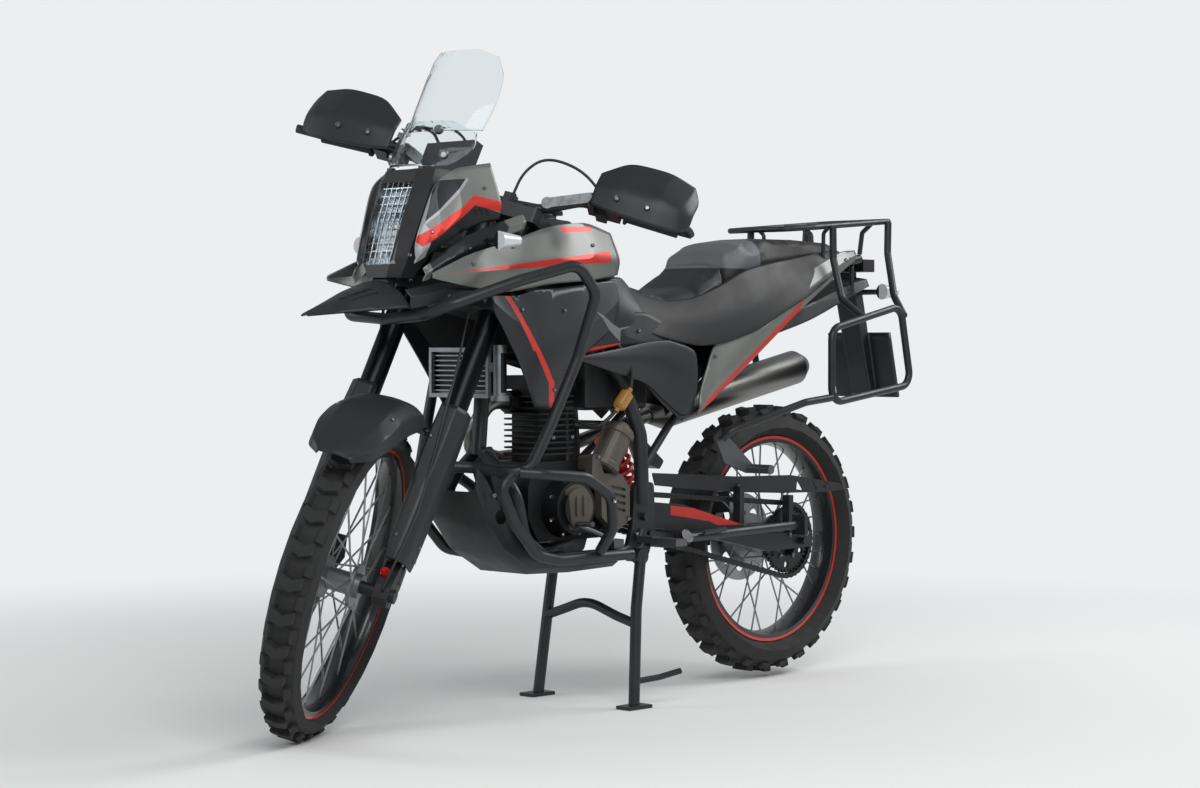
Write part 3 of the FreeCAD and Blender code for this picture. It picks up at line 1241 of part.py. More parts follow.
def make_rear_fender():
    # place, height, half width, depth of the sides
    rows = [(420, 690, 60, 30), (300, 800, 74, 40), (120, 880, 84, 44), (-80, 930, 84, 44),
            (-260, 985, 76, 34), (-345, 1000, 62, 24)]
    stations = []
    for x, z, half, depth in rows:
        stations.append((x, both_sides([(half, z - depth), (half - 6, z - 8), (0, z)])))
    fender = shell(stations, "x", mm("panel_wall"))
    holder = [(-318, 993), (-350, 997), (-420, 700), (-408, 694), (-396, 700)]
    tongue = plate(holder, "64", -32, 3.0)
    board = box((-408, -100, 690), (-399, 100, 860), Rot(Vec(0, 1, 0), 13), Vec(-404, 0, 780))
    post = cylinder("6", "74", Vec(-262, 74, 955))
    lamp_seat = box((-344, -24, 992), (-332, 24, 1014 - mm("running_clearance")))
    node("rear_fender", fused(fender, tongue, board, lamp_seat, *pair(post)), CHASSIS)


def make_signals():
    """Tail lamp and four turn signals on their stalks."""
    pieces = [box((-376, -58, 1014), (-330, 58, 1046))]
    # place, side where the stalk starts, height, side of the lamp
    for x, start, z, end in ((AXIS_FOOT.x - 420, 164.8, 1050, 226), (-343, 32.3, 962, 128)):
        stalk = cylinder("7", f"{end - 4 - start}", Vec(x, start, z), Vec(0, 1, 0))
        lamp = cone("20", "11", "52", Vec(x + 26, end, z), Vec(-1, 0.12, 0))
        pieces += pair(fused(stalk, lamp))
    node("signal_lamps", group(*pieces), CHASSIS)


def make_footrests():
    """Rider pegs with their hangers, passenger pegs, shift lever and brake pedal."""
    rider = box((553, 170, 372), (589, 250, 388))
    hanger = box((558, 123 + mm("running_clearance"), 374), (584, 172, 390))
    bracket = plate([(346, 616), (304, 616), (206, 540), (222, 520), (310, 548)], "8", 142, 6.0)
    peg = cylinder("11", "70", Vec(220, 148, 532), Vec(0, 1, 0))
    lever = tube([(656, 128, 378), (720, 126, 404), (784, 128, 424), (792, 140, 428),
                  (792, 186, 430)], "6", 12.0)
    link = box((640, 104, 365.3), (672, 136, 386))
    pieces = [fused(rider, hanger), fused(bracket, peg), fused(lever, link)]
    node("footrests", group(*[solid for piece in pieces for solid in pair(piece)]), CHASSIS)


def make_rear_caliper():
    z = mm("rear_axle_height")
    side = mm("rear_disc_offset")
    reach = mm("rear_disc_radius")
    body = box((reach * 0.5, side - 18, z + reach * 0.58), (reach * 0.5 + 66, side + 15, z + reach * 1.06))
    slot = box((0, side - 4, z - 20), (reach + 60, side + 4, z + reach * 0.94))
    arm = plate([(52, z + 78), (118, z + 78), (104, z + 26), (90, z - 6), (30, z - 6), (34, z + 26)],
                "12", -97.9, 4.0)
    node("rear_caliper", fused(cut(body, slot), arm), CHASSIS)


# Stands


def make_centre_stand():
    """Two legs with foot pads, a bowed cross tube and a foot tang, about the pivot tube."""
    x = mm("centre_stand_x")
    z = mm("centre_stand_height")
    leg = tube([(x, 139, z - 2), (x + 18, 142, z - 120), (x + 40, 156, 4)], "Sizes.stand_tube_radius",
               120.0)
    pad = box((x + 4, 136, 0), (x + 78, 180, 8))
    bow = tube([(x + 22, 144, 190), (x + 30, 90, 206), (x + 34, 0, 236), (x + 30, -90, 206),
                (x + 22, -144, 190)],
               "11", 120.0)
    tang = tube([(x + 36, 152, 60), (x - 30, 170, 66), (x - 80, 190, 78)], "7", 30.0)
    ears = cylinder("18", "22", Vec(x, 125.3, z), Vec(0, 1, 0))
    node("centre_stand", fused(*pair(leg), *pair(pad), *pair(ears), bow, tang), CHASSIS)


def make_side_stand():
    """Leg folded back along the swingarm, with its foot pad and spring stub."""
    x = mm("side_stand_x")
    z = mm("side_stand_height")
    reach = mm("side_stand_length")
    line = Vec(10 - reach, 4, 10)
    leg = cylinder("11", f"{line.Length}", Vec(x, 146, z), line)
    eye = cylinder("17", "23", Vec(x, 146, z) - SPLAY_AXIS * 12, SPLAY_AXIS)
    foot = box((x - reach, 134, z - 14), (x - reach + 12, 174, z + 34))
    node("side_stand", fused(leg, eye, foot), CHASSIS)


make_wheel("front", FRONT_WHEEL, 10)
make_wheel("rear", REAR_WHEEL, 8)
make_sprocket()
make_fork()
make_clamps()
make_fork_guards()
make_front_fender()
make_front_caliper()
make_handlebar()
make_controls()
make_handguards()
make_front_cables()
make_main_frame()
make_swingarm()
make_shock()
make_chain()
make_chain_guard()
make_engine()
make_exhaust()
make_oil_cooler()
make_skid_plate()
make_crash_bars()
make_tank()
make_tank_shrouds()
make_fairing()
make_headlight()
make_beak()
make_windscreen()
make_instruments()
make_side_panels()
make_seats()
make_racks()
make_rear_fender()
make_signals()
make_footrests()
make_rear_caliper()
make_centre_stand()
make_side_stand()

doc.recompute()
for obj in doc.Objects:
    if "Invalid" in obj.State or "Error" in obj.State:
        raise RuntimeError(f"{obj.Label} failed: {obj.State}")
for obj in nodes:
    if obj.Shape.isNull() or not obj.Shape.isValid():
        raise RuntimeError(f"{obj.Label} has no valid shape")

os.makedirs("parts", exist_ok=True)
for obj in nodes:
    obj.Shape.exportStep(f"parts/{obj.Label}.step")
    print(obj.Label, len(obj.Shape.Solids), round(obj.Shape.Volume / 1000))
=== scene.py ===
import json
import math

import bmesh
import bpy
from mathutils import Matrix, Vector


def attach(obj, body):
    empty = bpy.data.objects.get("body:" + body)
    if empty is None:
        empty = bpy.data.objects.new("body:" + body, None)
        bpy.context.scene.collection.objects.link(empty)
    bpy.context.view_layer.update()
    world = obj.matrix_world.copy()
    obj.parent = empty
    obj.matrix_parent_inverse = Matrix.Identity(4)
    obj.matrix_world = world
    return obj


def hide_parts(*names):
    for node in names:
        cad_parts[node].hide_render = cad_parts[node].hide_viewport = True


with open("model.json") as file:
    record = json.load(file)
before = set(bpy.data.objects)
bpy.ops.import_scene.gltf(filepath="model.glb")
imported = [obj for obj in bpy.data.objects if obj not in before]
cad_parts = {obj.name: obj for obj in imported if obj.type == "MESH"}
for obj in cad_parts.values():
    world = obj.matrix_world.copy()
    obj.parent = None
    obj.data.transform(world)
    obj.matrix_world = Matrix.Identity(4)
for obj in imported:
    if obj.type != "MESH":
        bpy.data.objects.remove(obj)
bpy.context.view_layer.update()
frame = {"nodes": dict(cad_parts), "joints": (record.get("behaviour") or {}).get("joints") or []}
nodes = frame["nodes"]

# Camera
# It stands where the photograph was taken from: ahead of the motorcycle and to its left, a
# little under the height of the tank, with a lens of 76 mm on a frame 36 mm wide.
camera = bpy.data.objects.new("camera", bpy.data.cameras.new("camera"))
bpy.context.scene.collection.objects.link(camera)
camera.location = (4.1943, 4.1314, 0.839)
camera.rotation_euler = (math.radians(88.784), 0.0, math.radians(134.26))
camera.data.sensor_fit = "HORIZONTAL"
camera.data.sensor_width = 36.0
camera.data.lens = 76.27
camera.data.clip_end = 200.0
bpy.context.scene.camera = camera
bpy.context.scene.view_settings.view_transform = "Standard"

# Floor and light
# A floor of pale matt studio paper that keeps the shadow and fades into the backdrop, two
# large soft boxes in front, one behind, and an even pale sky.
BACKDROP = "#ECEEF0"


def colour(text):
    """The linear colour of an sRGB hex value."""
    parts = [int(text[i:i + 2], 16) / 255 for i in (1, 3, 5)]
    return (*[p / 12.92 if p <= 0.04045 else ((p + 0.055) / 1.055) ** 2.4 for p in parts], 1.0)


def add(tree, kind, inputs=None, **settings):
    """A node of this kind with its settings, and its inputs as values or links from sockets."""
    made = tree.nodes.new(kind)
    for name, value in settings.items():
        setattr(made, name, value)
    for name, value in (inputs or {}).items():
        if isinstance(value, bpy.types.NodeSocket):
            tree.links.new(value, made.inputs[name])
        else:
            made.inputs[name].default_value = value
    return made


def finish(name, base, metallic, roughness, more=None):
    """A material whose principled shader starts from these values, and its tree and shader."""
    made = bpy.data.materials.new(name)
    made.use_nodes = True
    shader = made.node_tree.nodes["Principled BSDF"]
    shader.inputs["Base Color"].default_value = colour(base)
    shader.inputs["Metallic"].default_value = metallic
    shader.inputs["Roughness"].default_value = roughness
    for socket, value in (more or {}).items():
        shader.inputs[socket].default_value = value
    return made, made.node_tree, shader


def seen_directly(tree):
    """1 for what the camera sees, straight or through a clear screen."""
    path = add(tree, "ShaderNodeLightPath")
    return add(tree, "ShaderNodeMath",
               {0: path.outputs["Is Camera Ray"], 1: path.outputs["Is Transmission Ray"]},
               operation="MAXIMUM").outputs[0]


bm = bmesh.new()
bmesh.ops.create_grid(bm, x_segments=1, y_segments=1, size=40.0)
floor_mesh = bpy.data.meshes.new("studio_floor")
bm.to_mesh(floor_mesh)
bm.free()
floor = bpy.data.objects.new("studio_floor", floor_mesh)
bpy.context.scene.collection.objects.link(floor)
paper, tree, shader = finish("pale_studio_paper", "#EEEEEC", 0.0, 0.9)
where = add(tree, "ShaderNodeTexCoord")
far = add(tree, "ShaderNodeVectorMath", {0: where.outputs["Object"]}, operation="LENGTH")
fade = add(tree, "ShaderNodeMapRange",
           {"Value": far.outputs["Value"], "From Min": 1.2, "From Max": 3.6},
           interpolation_type="SMOOTHSTEP")
share = add(tree, "ShaderNodeMath", {0: fade.outputs[0], 1: seen_directly(tree)},
            operation="MULTIPLY")
glow = add(tree, "ShaderNodeEmission", {"Color": colour(BACKDROP), "Strength": 1.0})
both = add(tree, "ShaderNodeMixShader",
           {0: share.outputs[0], 1: shader.outputs[0], 2: glow.outputs[0]})
tree.links.new(both.outputs[0], tree.nodes["Material Output"].inputs["Surface"])
floor_mesh.materials.append(paper)

world = bpy.data.worlds.new("pale_sky")
world.use_nodes = True
bpy.context.scene.world = world
sky = world.node_tree
sky.nodes.clear()
even = add(sky, "ShaderNodeBackground", {"Color": colour("#D4D8DC"), "Strength": 0.55})
bright = add(sky, "ShaderNodeBackground", {"Color": colour(BACKDROP), "Strength": 1.0})
both = add(sky, "ShaderNodeMixShader",
           {0: seen_directly(sky), 1: even.outputs[0], 2: bright.outputs[0]})
add(sky, "ShaderNodeOutputWorld", {"Surface": both.outputs[0]})

# place, where it points, width, height, power
for place, target, width, height, power in (
        ((2.6, 3.4, 3.4), (0.0, 0.0, 0.6), 2.6, 2.0, 110.0),
        ((3.6, -2.6, 2.2), (0.2, 0.0, 0.6), 1.8, 1.8, 45.0),
        ((-2.8, 1.4, 2.8), (-0.2, 0.0, 0.8), 2.4, 1.2, 70.0)):
    lamp = bpy.data.objects.new("soft_box", bpy.data.lights.new("soft_box", "AREA"))
    bpy.context.scene.collection.objects.link(lamp)
    lamp.data.shape = "RECTANGLE"
    lamp.data.size = width
    lamp.data.size_y = height
    lamp.data.energy = power
    lamp.location = place
    lamp.rotation_euler = (Vector(target) - Vector(place)).to_track_quat("-Z", "Y").to_euler()

# Rounded and turned surfaces
# Tubes, castings and moulded panels are round between their real edges, so the shading runs
# on across each gentle bend and breaks at the sharper ones. Tread, fins and links stay flat.
REAL_EDGE = math.radians(34.0)
SAME_POINT = 0.00002
smooth = bpy.data.node_groups.new("smooth_between_edges", "GeometryNodeTree")
smooth.interface.new_socket("Geometry", in_out="INPUT", socket_type="NodeSocketGeometry")
smooth.interface.new_socket("Geometry", in_out="OUTPUT", socket_type="NodeSocketGeometry")
entry = add(smooth, "NodeGroupInput")
joined = add(smooth, "GeometryNodeMergeByDistance",
             {"Geometry": entry.outputs[0], "Distance": SAME_POINT})
shaded = add(smooth, "GeometryNodeSetShadeSmooth",
             {"Geometry": joined.outputs[0], "Shade Smooth": True}, domain="FACE")
angle = add(smooth, "GeometryNodeInputMeshEdgeAngle")
sharp = add(smooth, "FunctionNodeCompare", {0: angle.outputs["Unsigned Angle"], 1: REAL_EDGE},
            data_type="FLOAT", operation="GREATER_THAN")
broken = add(smooth, "GeometryNodeSetShadeSmooth",
             {"Geometry": shaded.outputs[0], "Selection": sharp.outputs[0],
              "Shade Smooth": False}, domain="EDGE")
add(smooth, "NodeGroupOutput", {0: broken.outputs[0]})
for name, shape in nodes.items():
    if name not in ("front_tyre", "rear_tyre", "oil_cooler", "chain"):
        shape.modifiers.new("smooth_between_edges", "NODES").node_group = smooth

# Frame, stands and bars
# Steel tube, welded and powder coated satin black: a fine orange peel, and tone and gloss that
# drift a little over the surface.


def grain(tree, shader, size_mm, depth_mm, strength):
    """Noise bump of a grain size and depth, in the object's own millimetres."""
    where = add(tree, "ShaderNodeTexCoord")
    noise = add(tree, "ShaderNodeTexNoise",
                {"Vector": where.outputs["Object"], "Scale": 1000.0 / size_mm, "Detail": 2.0,
                 "Roughness": 0.6})
    bump = add(tree, "ShaderNodeBump",
               {"Height": noise.outputs[0], "Distance": depth_mm / 1000.0,
                "Strength": strength})
    tree.links.new(bump.outputs["Normal"], shader.inputs["Normal"])


def worn(tree, shader, low, high, size_mm, roughness):
    """Two shades and two roughnesses that drift over the surface, and the colour's socket."""
    where = add(tree, "ShaderNodeTexCoord")
    drift = add(tree, "ShaderNodeTexNoise",
                {"Vector": where.outputs["Object"], "Scale": 1000.0 / size_mm, "Detail": 4.0,
                 "Roughness": 0.65})
    shade = add(tree, "ShaderNodeMix",
                {0: drift.outputs[0], 6: colour(low), 7: colour(high)}, data_type="RGBA")
    tree.links.new(shade.outputs[2], shader.inputs["Base Color"])
    gloss = add(tree, "ShaderNodeMapRange",
                {"Value": drift.outputs[0], "From Min": 0.3, "From Max": 0.7,
                 "To Min": roughness[0], "To Max": roughness[1]})
    tree.links.new(gloss.outputs[0], shader.inputs["Roughness"])
    return shade.outputs[2]


def paint(material, *names):
    """Give CAD nodes this material in every slot."""
    for name in names:
        mesh = nodes[name].data
        mesh.materials.clear()
        mesh.materials.append(material)


def powder_coated(name):
    """Satin black powder coat, its tree and shader, and its colour's socket."""
    made, tree, shader = finish(name, "#1B1C1E", 0.0, 0.42)
    grain(tree, shader, 1.2, 0.06, 0.5)
    return made, tree, shader, worn(tree, shader, "#151618", "#232528", 60.0, (0.34, 0.5))


powder_coat = powder_coated("powder_coated_steel_black")[0]
paint(powder_coat, "main_frame", "centre_stand", "side_stand", "crash_bars", "luggage_rack",
      "pannier_racks", "fork_clamps", "handlebar", "skid_plate")

# Swingarm
# Box section arms, welded and powder coated as the frame is, with a red and a dark decal
# panel on the outer face of each.


def at(x, y, z):
    """A place given in millimetres from the rear axle, the middle and the floor."""
    return Vector(((x - 624.0) / 1000.0, y / 1000.0, z / 1000.0))


def inside(tree, corners):
    """1 where a point lies within this convex outline, drawn in the side view in millimetres."""
    where = add(tree, "ShaderNodeTexCoord")
    middle = sum((at(x, 0, z) for x, z in corners), Vector()) / len(corners)
    result = None
    for (x0, z0), (x1, z1) in zip(corners, corners[1:] + corners[:1]):
        start = at(x0, 0, z0)
        line = at(x1, 0, z1) - start
        normal = Vector((-line.z, 0.0, line.x)).normalized()
        if normal.dot(middle - start) < 0.0:
            normal = -normal
        height = add(tree, "ShaderNodeVectorMath", {0: where.outputs["Object"], 1: normal},
                     operation="DOT_PRODUCT")
        over = add(tree, "ShaderNodeMath", {0: height.outputs["Value"], 1: normal.dot(start)},
                   operation="GREATER_THAN").outputs[0]
        if result is not None:
            over = add(tree, "ShaderNodeMath", {0: result, 1: over},
                       operation="MULTIPLY").outputs[0]
        result = over
    return result


def outer(tree):
    """1 on the faces that look away from the middle of the motorcycle."""
    where = add(tree, "ShaderNodeTexCoord")
    place = add(tree, "ShaderNodeSeparateXYZ", {0: where.outputs["Object"]})
    face = add(tree, "ShaderNodeSeparateXYZ", {0: where.outputs["Normal"]})
    both = add(tree, "ShaderNodeMath", {0: place.outputs["Y"], 1: face.outputs["Y"]},
               operation="MULTIPLY")
    return add(tree, "ShaderNodeMath", {0: both.outputs[0], 1: 0.0},
               operation="GREATER_THAN").outputs[0]


def stripe(tree, shader, base, text, *outlines, limit=None):
    """The base with this colour over it within the outlines, and within a limit if given."""
    for corners in outlines:
        mask = inside(tree, corners)
        if limit is not None:
            mask = add(tree, "ShaderNodeMath", {0: mask, 1: limit},
                       operation="MULTIPLY").outputs[0]
        base = add(tree, "ShaderNodeMix", {0: mask, 6: base, 7: colour(text)},
                   data_type="RGBA").outputs[2]
    tree.links.new(base, shader.inputs["Base Color"])
    return base


arm_paint, tree, shader, shade = powder_coated("powder_coated_swingarm_black")
side = outer(tree)
shade = stripe(tree, shader, shade, "#B5271D",
               [(452, 452), (206, 420), (206, 396), (452, 404)], limit=side)
stripe(tree, shader, shade, "#1A1B1D",
       [(452, 430), (330, 410), (300, 398), (452, 404)], limit=side)
paint(arm_paint, "swingarm")

# Fork
# Inverted fork: outer tubes anodised black, with a low sheen, and hard chromed inner tubes
# whose cast feet are painted black. STEER is the steering's own frame, turned as it parks.
BLACK = "#17181A"
STEER = (Matrix.Translation((0.886, 0.0, 0.0)) @ Matrix.Rotation(math.radians(-27.0), 4, "Y")
         @ Matrix.Rotation(math.radians(35.5), 4, "Z"))
# the same frame's three directions
AHEAD, LEFT, UP = (STEER.to_3x3() @ Vector(axis) for axis in ((1, 0, 0), (0, 1, 0), (0, 0, 1)))
# where the painted feet end, in millimetres along the fork
FOOT_TOP = 420


def on_fork(x, y, z):
    """A place in millimetres ahead of the steering's axis, to its left and up along it."""
    return STEER @ Vector((x / 1000, y / 1000, z / 1000))


def two_finishes(tree, shader, mask, shades, metallic, roughness):
    """Colour, metallic and roughness each run from one value to another as the mask does."""
    shade = add(tree, "ShaderNodeMix", {0: mask, 6: colour(shades[0]), 7: colour(shades[1])},
                data_type="RGBA")
    tree.links.new(shade.outputs[2], shader.inputs["Base Color"])
    for socket, (low, high) in (("Metallic", metallic), ("Roughness", roughness)):
        value = add(tree, "ShaderNodeMapRange", {"Value": mask, "To Min": low, "To Max": high})
        tree.links.new(value.outputs[0], shader.inputs[socket])


anodised, tree, shader = finish("anodised_aluminium_black", "#17181B", 0.85, 0.34)
grain(tree, shader, 0.6, 0.01, 0.3)
paint(anodised, "fork_outer_tubes")
chrome, tree, shader = finish("hard_chromed_steel", "#B9BCC0", 1.0, 0.16)
grain(tree, shader, 2.0, 0.004, 0.3)
where = add(tree, "ShaderNodeTexCoord")
station = add(tree, "ShaderNodeVectorMath", {0: where.outputs["Object"], 1: UP},
              operation="DOT_PRODUCT")
foot = add(tree, "ShaderNodeMath",
           {0: station.outputs["Value"], 1: UP.dot(on_fork(0, 0, FOOT_TOP))},
           operation="LESS_THAN")
two_finishes(tree, shader, foot.outputs[0], ("#B9BCC0", BLACK), (1.0, 0.0), (0.16, 0.45))
paint(chrome, "fork_inner_tubes")

# Black moulded plastic
# Polypropylene from injection moulds with a fine leather grain, which keeps its black dull:
# fenders, guards, the tank and the covers.
polypropylene, tree, shader = finish("moulded_polypropylene_black", BLACK, 0.0, 0.5)
worn(tree, shader, "#131416", "#1E1F22", 90.0, (0.42, 0.56))
grain(tree, shader, 0.9, 0.05, 0.55)
paint(polypropylene, "fork_guards", "front_fender", "hand_controls", "handguards",
      "chain_guard", "fuel_tank", "beak", "instruments", "rear_fender", "side_panels",
      "front_cables")

# Tyres and grips
# Off-road tyres of natural and synthetic rubber, moulded and cured, with dust rubbed into the
# tread. The grips are of the same matt rubber.
tyre_rubber, tree, shader = finish("vulcanised_tyre_rubber", "#1D1E1F", 0.0, 0.78)
worn(tree, shader, "#181919", "#2B2B2A", 30.0, (0.7, 0.9))
grain(tree, shader, 1.5, 0.12, 0.6)
paint(tyre_rubber, "front_tyre", "rear_tyre", "grips")

# Rims, hubs, discs, chain and calipers
# Rims of rolled aluminium, painted black with a red line along the edge; hubs cast and left
# bare with zinc plated spokes; discs of stainless steel, punched and ground flat. Chain and
# sprocket are of oiled steel, the calipers anodised black.
RED = "#C62B20"
wheels = {joint["name"]: joint for joint in frame["joints"]}
# end of the motorcycle, inner and outer radius of the red line
for end, low, high in (("front", 0.2862, 0.2935), ("rear", 0.2482, 0.2555)):
    rim_paint, tree, shader = finish(f"painted_aluminium_rim_{end}", "#18191B", 0.0, 0.28,
                                     {"Coat Weight": 0.4})
    grain(tree, shader, 3.0, 0.02, 0.3)
    wheel = wheels[f"{end}_wheel_spin"]
    where = add(tree, "ShaderNodeTexCoord")
    spoke = add(tree, "ShaderNodeVectorMath", {0: where.outputs["Object"], 1: wheel["pos_m"]},
                operation="SUBTRACT")
    across = add(tree, "ShaderNodeVectorMath",
                 {0: spoke.outputs["Vector"], 1: Vector(wheel["axis"]).normalized()},
                 operation="CROSS_PRODUCT")
    radius = add(tree, "ShaderNodeVectorMath", {0: across.outputs["Vector"]},
                 operation="LENGTH")
    line = add(tree, "ShaderNodeMath",
               {0: radius.outputs["Value"], 1: (low + high) / 2, 2: (high - low) / 2},
               operation="COMPARE")
    shade = add(tree, "ShaderNodeMix", {0: line.outputs[0], 6: colour("#18191B"), 7: colour(RED)},
                data_type="RGBA")
    tree.links.new(shade.outputs[2], shader.inputs["Base Color"])
    paint(rim_paint, f"{end}_rim")
cast_aluminium, tree, shader = finish("sand_cast_aluminium", "#8E9092", 0.9, 0.42)
grain(tree, shader, 1.0, 0.08, 0.5)
paint(cast_aluminium, "front_hub", "rear_hub")
ground_steel, tree, shader = finish("ground_stainless_steel", "#A2A4A6", 1.0, 0.3)
where = add(tree, "ShaderNodeTexCoord")
# grinding marks 2.6 mm apart, coarser than real ones so that they show
rings = add(tree, "ShaderNodeTexWave",
            {"Vector": where.outputs["Object"], "Scale": 120.0, "Distortion": 3.0},
            wave_type="RINGS", rings_direction="Y")
bump = add(tree, "ShaderNodeBump",
           {"Height": rings.outputs[0], "Distance": 0.00002, "Strength": 0.3})
tree.links.new(bump.outputs["Normal"], shader.inputs["Normal"])
paint(ground_steel, "front_disc", "rear_disc")
oiled_steel, tree, shader = finish("oiled_chain_steel", "#3A3B3D", 0.9, 0.4)
worn(tree, shader, "#2C2D2E", "#4A4A4B", 20.0, (0.3, 0.55))
paint(oiled_steel, "chain", "rear_sprocket")
caliper_paint, tree, shader = finish("anodised_caliper_black", "#1E1F21", 0.7, 0.42)
grain(tree, shader, 0.8, 0.05, 0.5)
paint(caliper_paint, "front_caliper", "rear_caliper")

# Engine
# Crankcases and sprocket cover die cast and painted bronze grey, with a black ring round the
# generator's cover and a black front; the finned cylinder and head cast and painted black.
# middle of the generator's cover, from the rear axle and the floor
GENERATOR_X, GENERATOR_Z = 762, 462


def bronze(name):
    """Bronze grey paint on a die casting, its tree and shader, and its colour's socket."""
    made, tree, shader = finish(name, "#57534B", 0.35, 0.45)
    grain(tree, shader, 1.0, 0.06, 0.5)
    return made, tree, shader, worn(tree, shader, "#4C4841", "#625D55", 50.0, (0.38, 0.55))


bronze_paint = bronze("die_cast_painted_bronze_grey")[0]
paint(bronze_paint, "sprocket_cover")
case_paint, tree, shader, shade = bronze("die_cast_painted_case")
where = add(tree, "ShaderNodeTexCoord")
reach = add(tree, "ShaderNodeVectorMath",
            {0: where.outputs["Object"], 1: at(GENERATOR_X, 0, GENERATOR_Z)},
            operation="SUBTRACT")
reach = add(tree, "ShaderNodeVectorMath", {0: reach.outputs["Vector"], 1: (1.0, 0.0, 1.0)},
            operation="MULTIPLY")
reach = add(tree, "ShaderNodeVectorMath", {0: reach.outputs["Vector"]}, operation="LENGTH")
# a ring from 52 to 134 mm out
ring = add(tree, "ShaderNodeMath", {0: reach.outputs["Value"], 1: 0.093, 2: 0.041},
           operation="COMPARE")
shade = add(tree, "ShaderNodeMix", {0: ring.outputs[0], 6: shade, 7: colour(BLACK)},
            data_type="RGBA").outputs[2]
stripe(tree, shader, shade, BLACK, [(1100, 300), (1100, 620), (812, 620), (770, 300)],
       [(1100, 300), (1100, 400), (500, 400), (500, 300)])
paint(case_paint, "engine_case")
engine_black, tree, shader = finish("cast_aluminium_painted_black", "#1D1E20", 0.2, 0.5)
grain(tree, shader, 1.2, 0.08, 0.6)
paint(engine_black, "cylinder")

# Oil cooler
# Aluminium tubes and fins, brazed together in a bare frame. The side of the core between the
# two tanks stays dark.
brazed, tree, shader = finish("brazed_aluminium", "#8F9193", 0.9, 0.4)
shade = worn(tree, shader, "#7E8082", "#A0A2A4", 30.0, (0.34, 0.48))
stripe(tree, shader, shade, "#2A2B2D", [(1013, 724), (1013, 811), (980, 811), (980, 724)])
paint(brazed, "oil_cooler")

# Exhaust
# Header and silencer of stainless steel, rolled and welded, then brushed to a dull sheen
# without direction.
exhaust_steel, tree, shader = finish("brushed_stainless_steel", "#7C7B79", 1.0, 0.36)
grain(tree, shader, 0.8, 0.02, 0.4)
paint(exhaust_steel, "exhaust")

# Shock
# The coil spring is wound of steel wire and painted glossy red, and so is the damper that
# stands inside it.
spring_paint, tree, shader = finish("painted_spring_steel_red", "#C22A20", 0.0, 0.35)
grain(tree, shader, 2.0, 0.03, 0.3)
paint(spring_paint, "shock")

# Painted panels
# Tank shrouds, cowl and tail of ABS, sprayed satin silver grey, with red stripes under a matt
# lacquer. The lower shrouds and the side covers stay graphite or black. On the cowl, graphite
# is painted shade on the silver that faces away from the light, and a pale band along the rim
# is a painted highlight.
GRAPHITE = "#202225"
WEDGE = "#6B6E71"


def sprayed(name):
    """Silver grey paint with a faint flake, its tree and shader, and its colour's socket."""
    made, tree, shader = finish(name, "#6F726F", 0.3, 0.38)
    grain(tree, shader, 2.0, 0.02, 0.3)
    return made, tree, shader, worn(tree, shader, "#6A6D69", "#767975", 240.0, (0.34, 0.42))


cowl_paint, tree, shader, shade = sprayed("sprayed_abs_cowl")
side = outer(tree)
# painted shade: the cowl's silver faces that turn down and away from the light, in graphite
shade = stripe(tree, shader, shade, GRAPHITE,
               [(1215, 1046), (1110, 1129), (1030, 1110), (1030, 940), (1215, 940)],
               [(1188, 1178), (1214, 1089), (1116, 1184)], limit=side)
# painted highlight: the light caught by the bevel along the rim and down the tip
shade = stripe(tree, shader, shade, "#9A9DA0",
               [(1194, 1186), (1188, 1178), (1214, 1089), (1220, 1086)],
               [(1216, 1082), (1213, 1091), (1114, 1187), (1110, 1182)],
               [(1270, 990), (1262, 1062), (1218, 1092), (1206, 1068), (1222, 990)], limit=side)
# three louvre slots, painted near black for the shade inside them
shade = stripe(tree, shader, shade, "#0E0F10",
               *[[(x, z), (x - 10, z), (x - 18, z - 12), (x - 8, z - 12)]
                 for x, z in ((1118, 1118), (1102, 1120), (1086, 1118))], limit=side)
stripe(tree, shader, shade, RED, [(1238, 1052), (1224, 1036), (1110, 1127), (1106, 1149)],
       [(1107, 1149), (1111, 1127), (1030, 1113), (1030, 1136)], limit=side)
paint(cowl_paint, "fairing")
shroud_paint, tree, shader, shade = sprayed("sprayed_abs_shroud")
stripe(tree, shader, shade, RED, [(1208, 981), (690, 1041), (690, 1014)],
       [(862, 1088), (742, 1094), (742, 1082), (850, 1076)], limit=outer(tree))
paint(shroud_paint, "tank_shrouds")
tail_paint, tree, shader, shade = sprayed("sprayed_abs_tail")
stripe(tree, shader, shade, RED, [(388, 668), (12, 908), (2, 942), (366, 702)],
       limit=outer(tree))
paint(tail_paint, "tail_panels")
graphite, tree, shader = finish("moulded_abs_graphite", GRAPHITE, 0.0, 0.4)
shade = worn(tree, shader, "#1B1D20", "#25272A", 120.0, (0.36, 0.46))
grain(tree, shader, 1.0, 0.05, 0.5)
side = outer(tree)
where = add(tree, "ShaderNodeTexCoord")
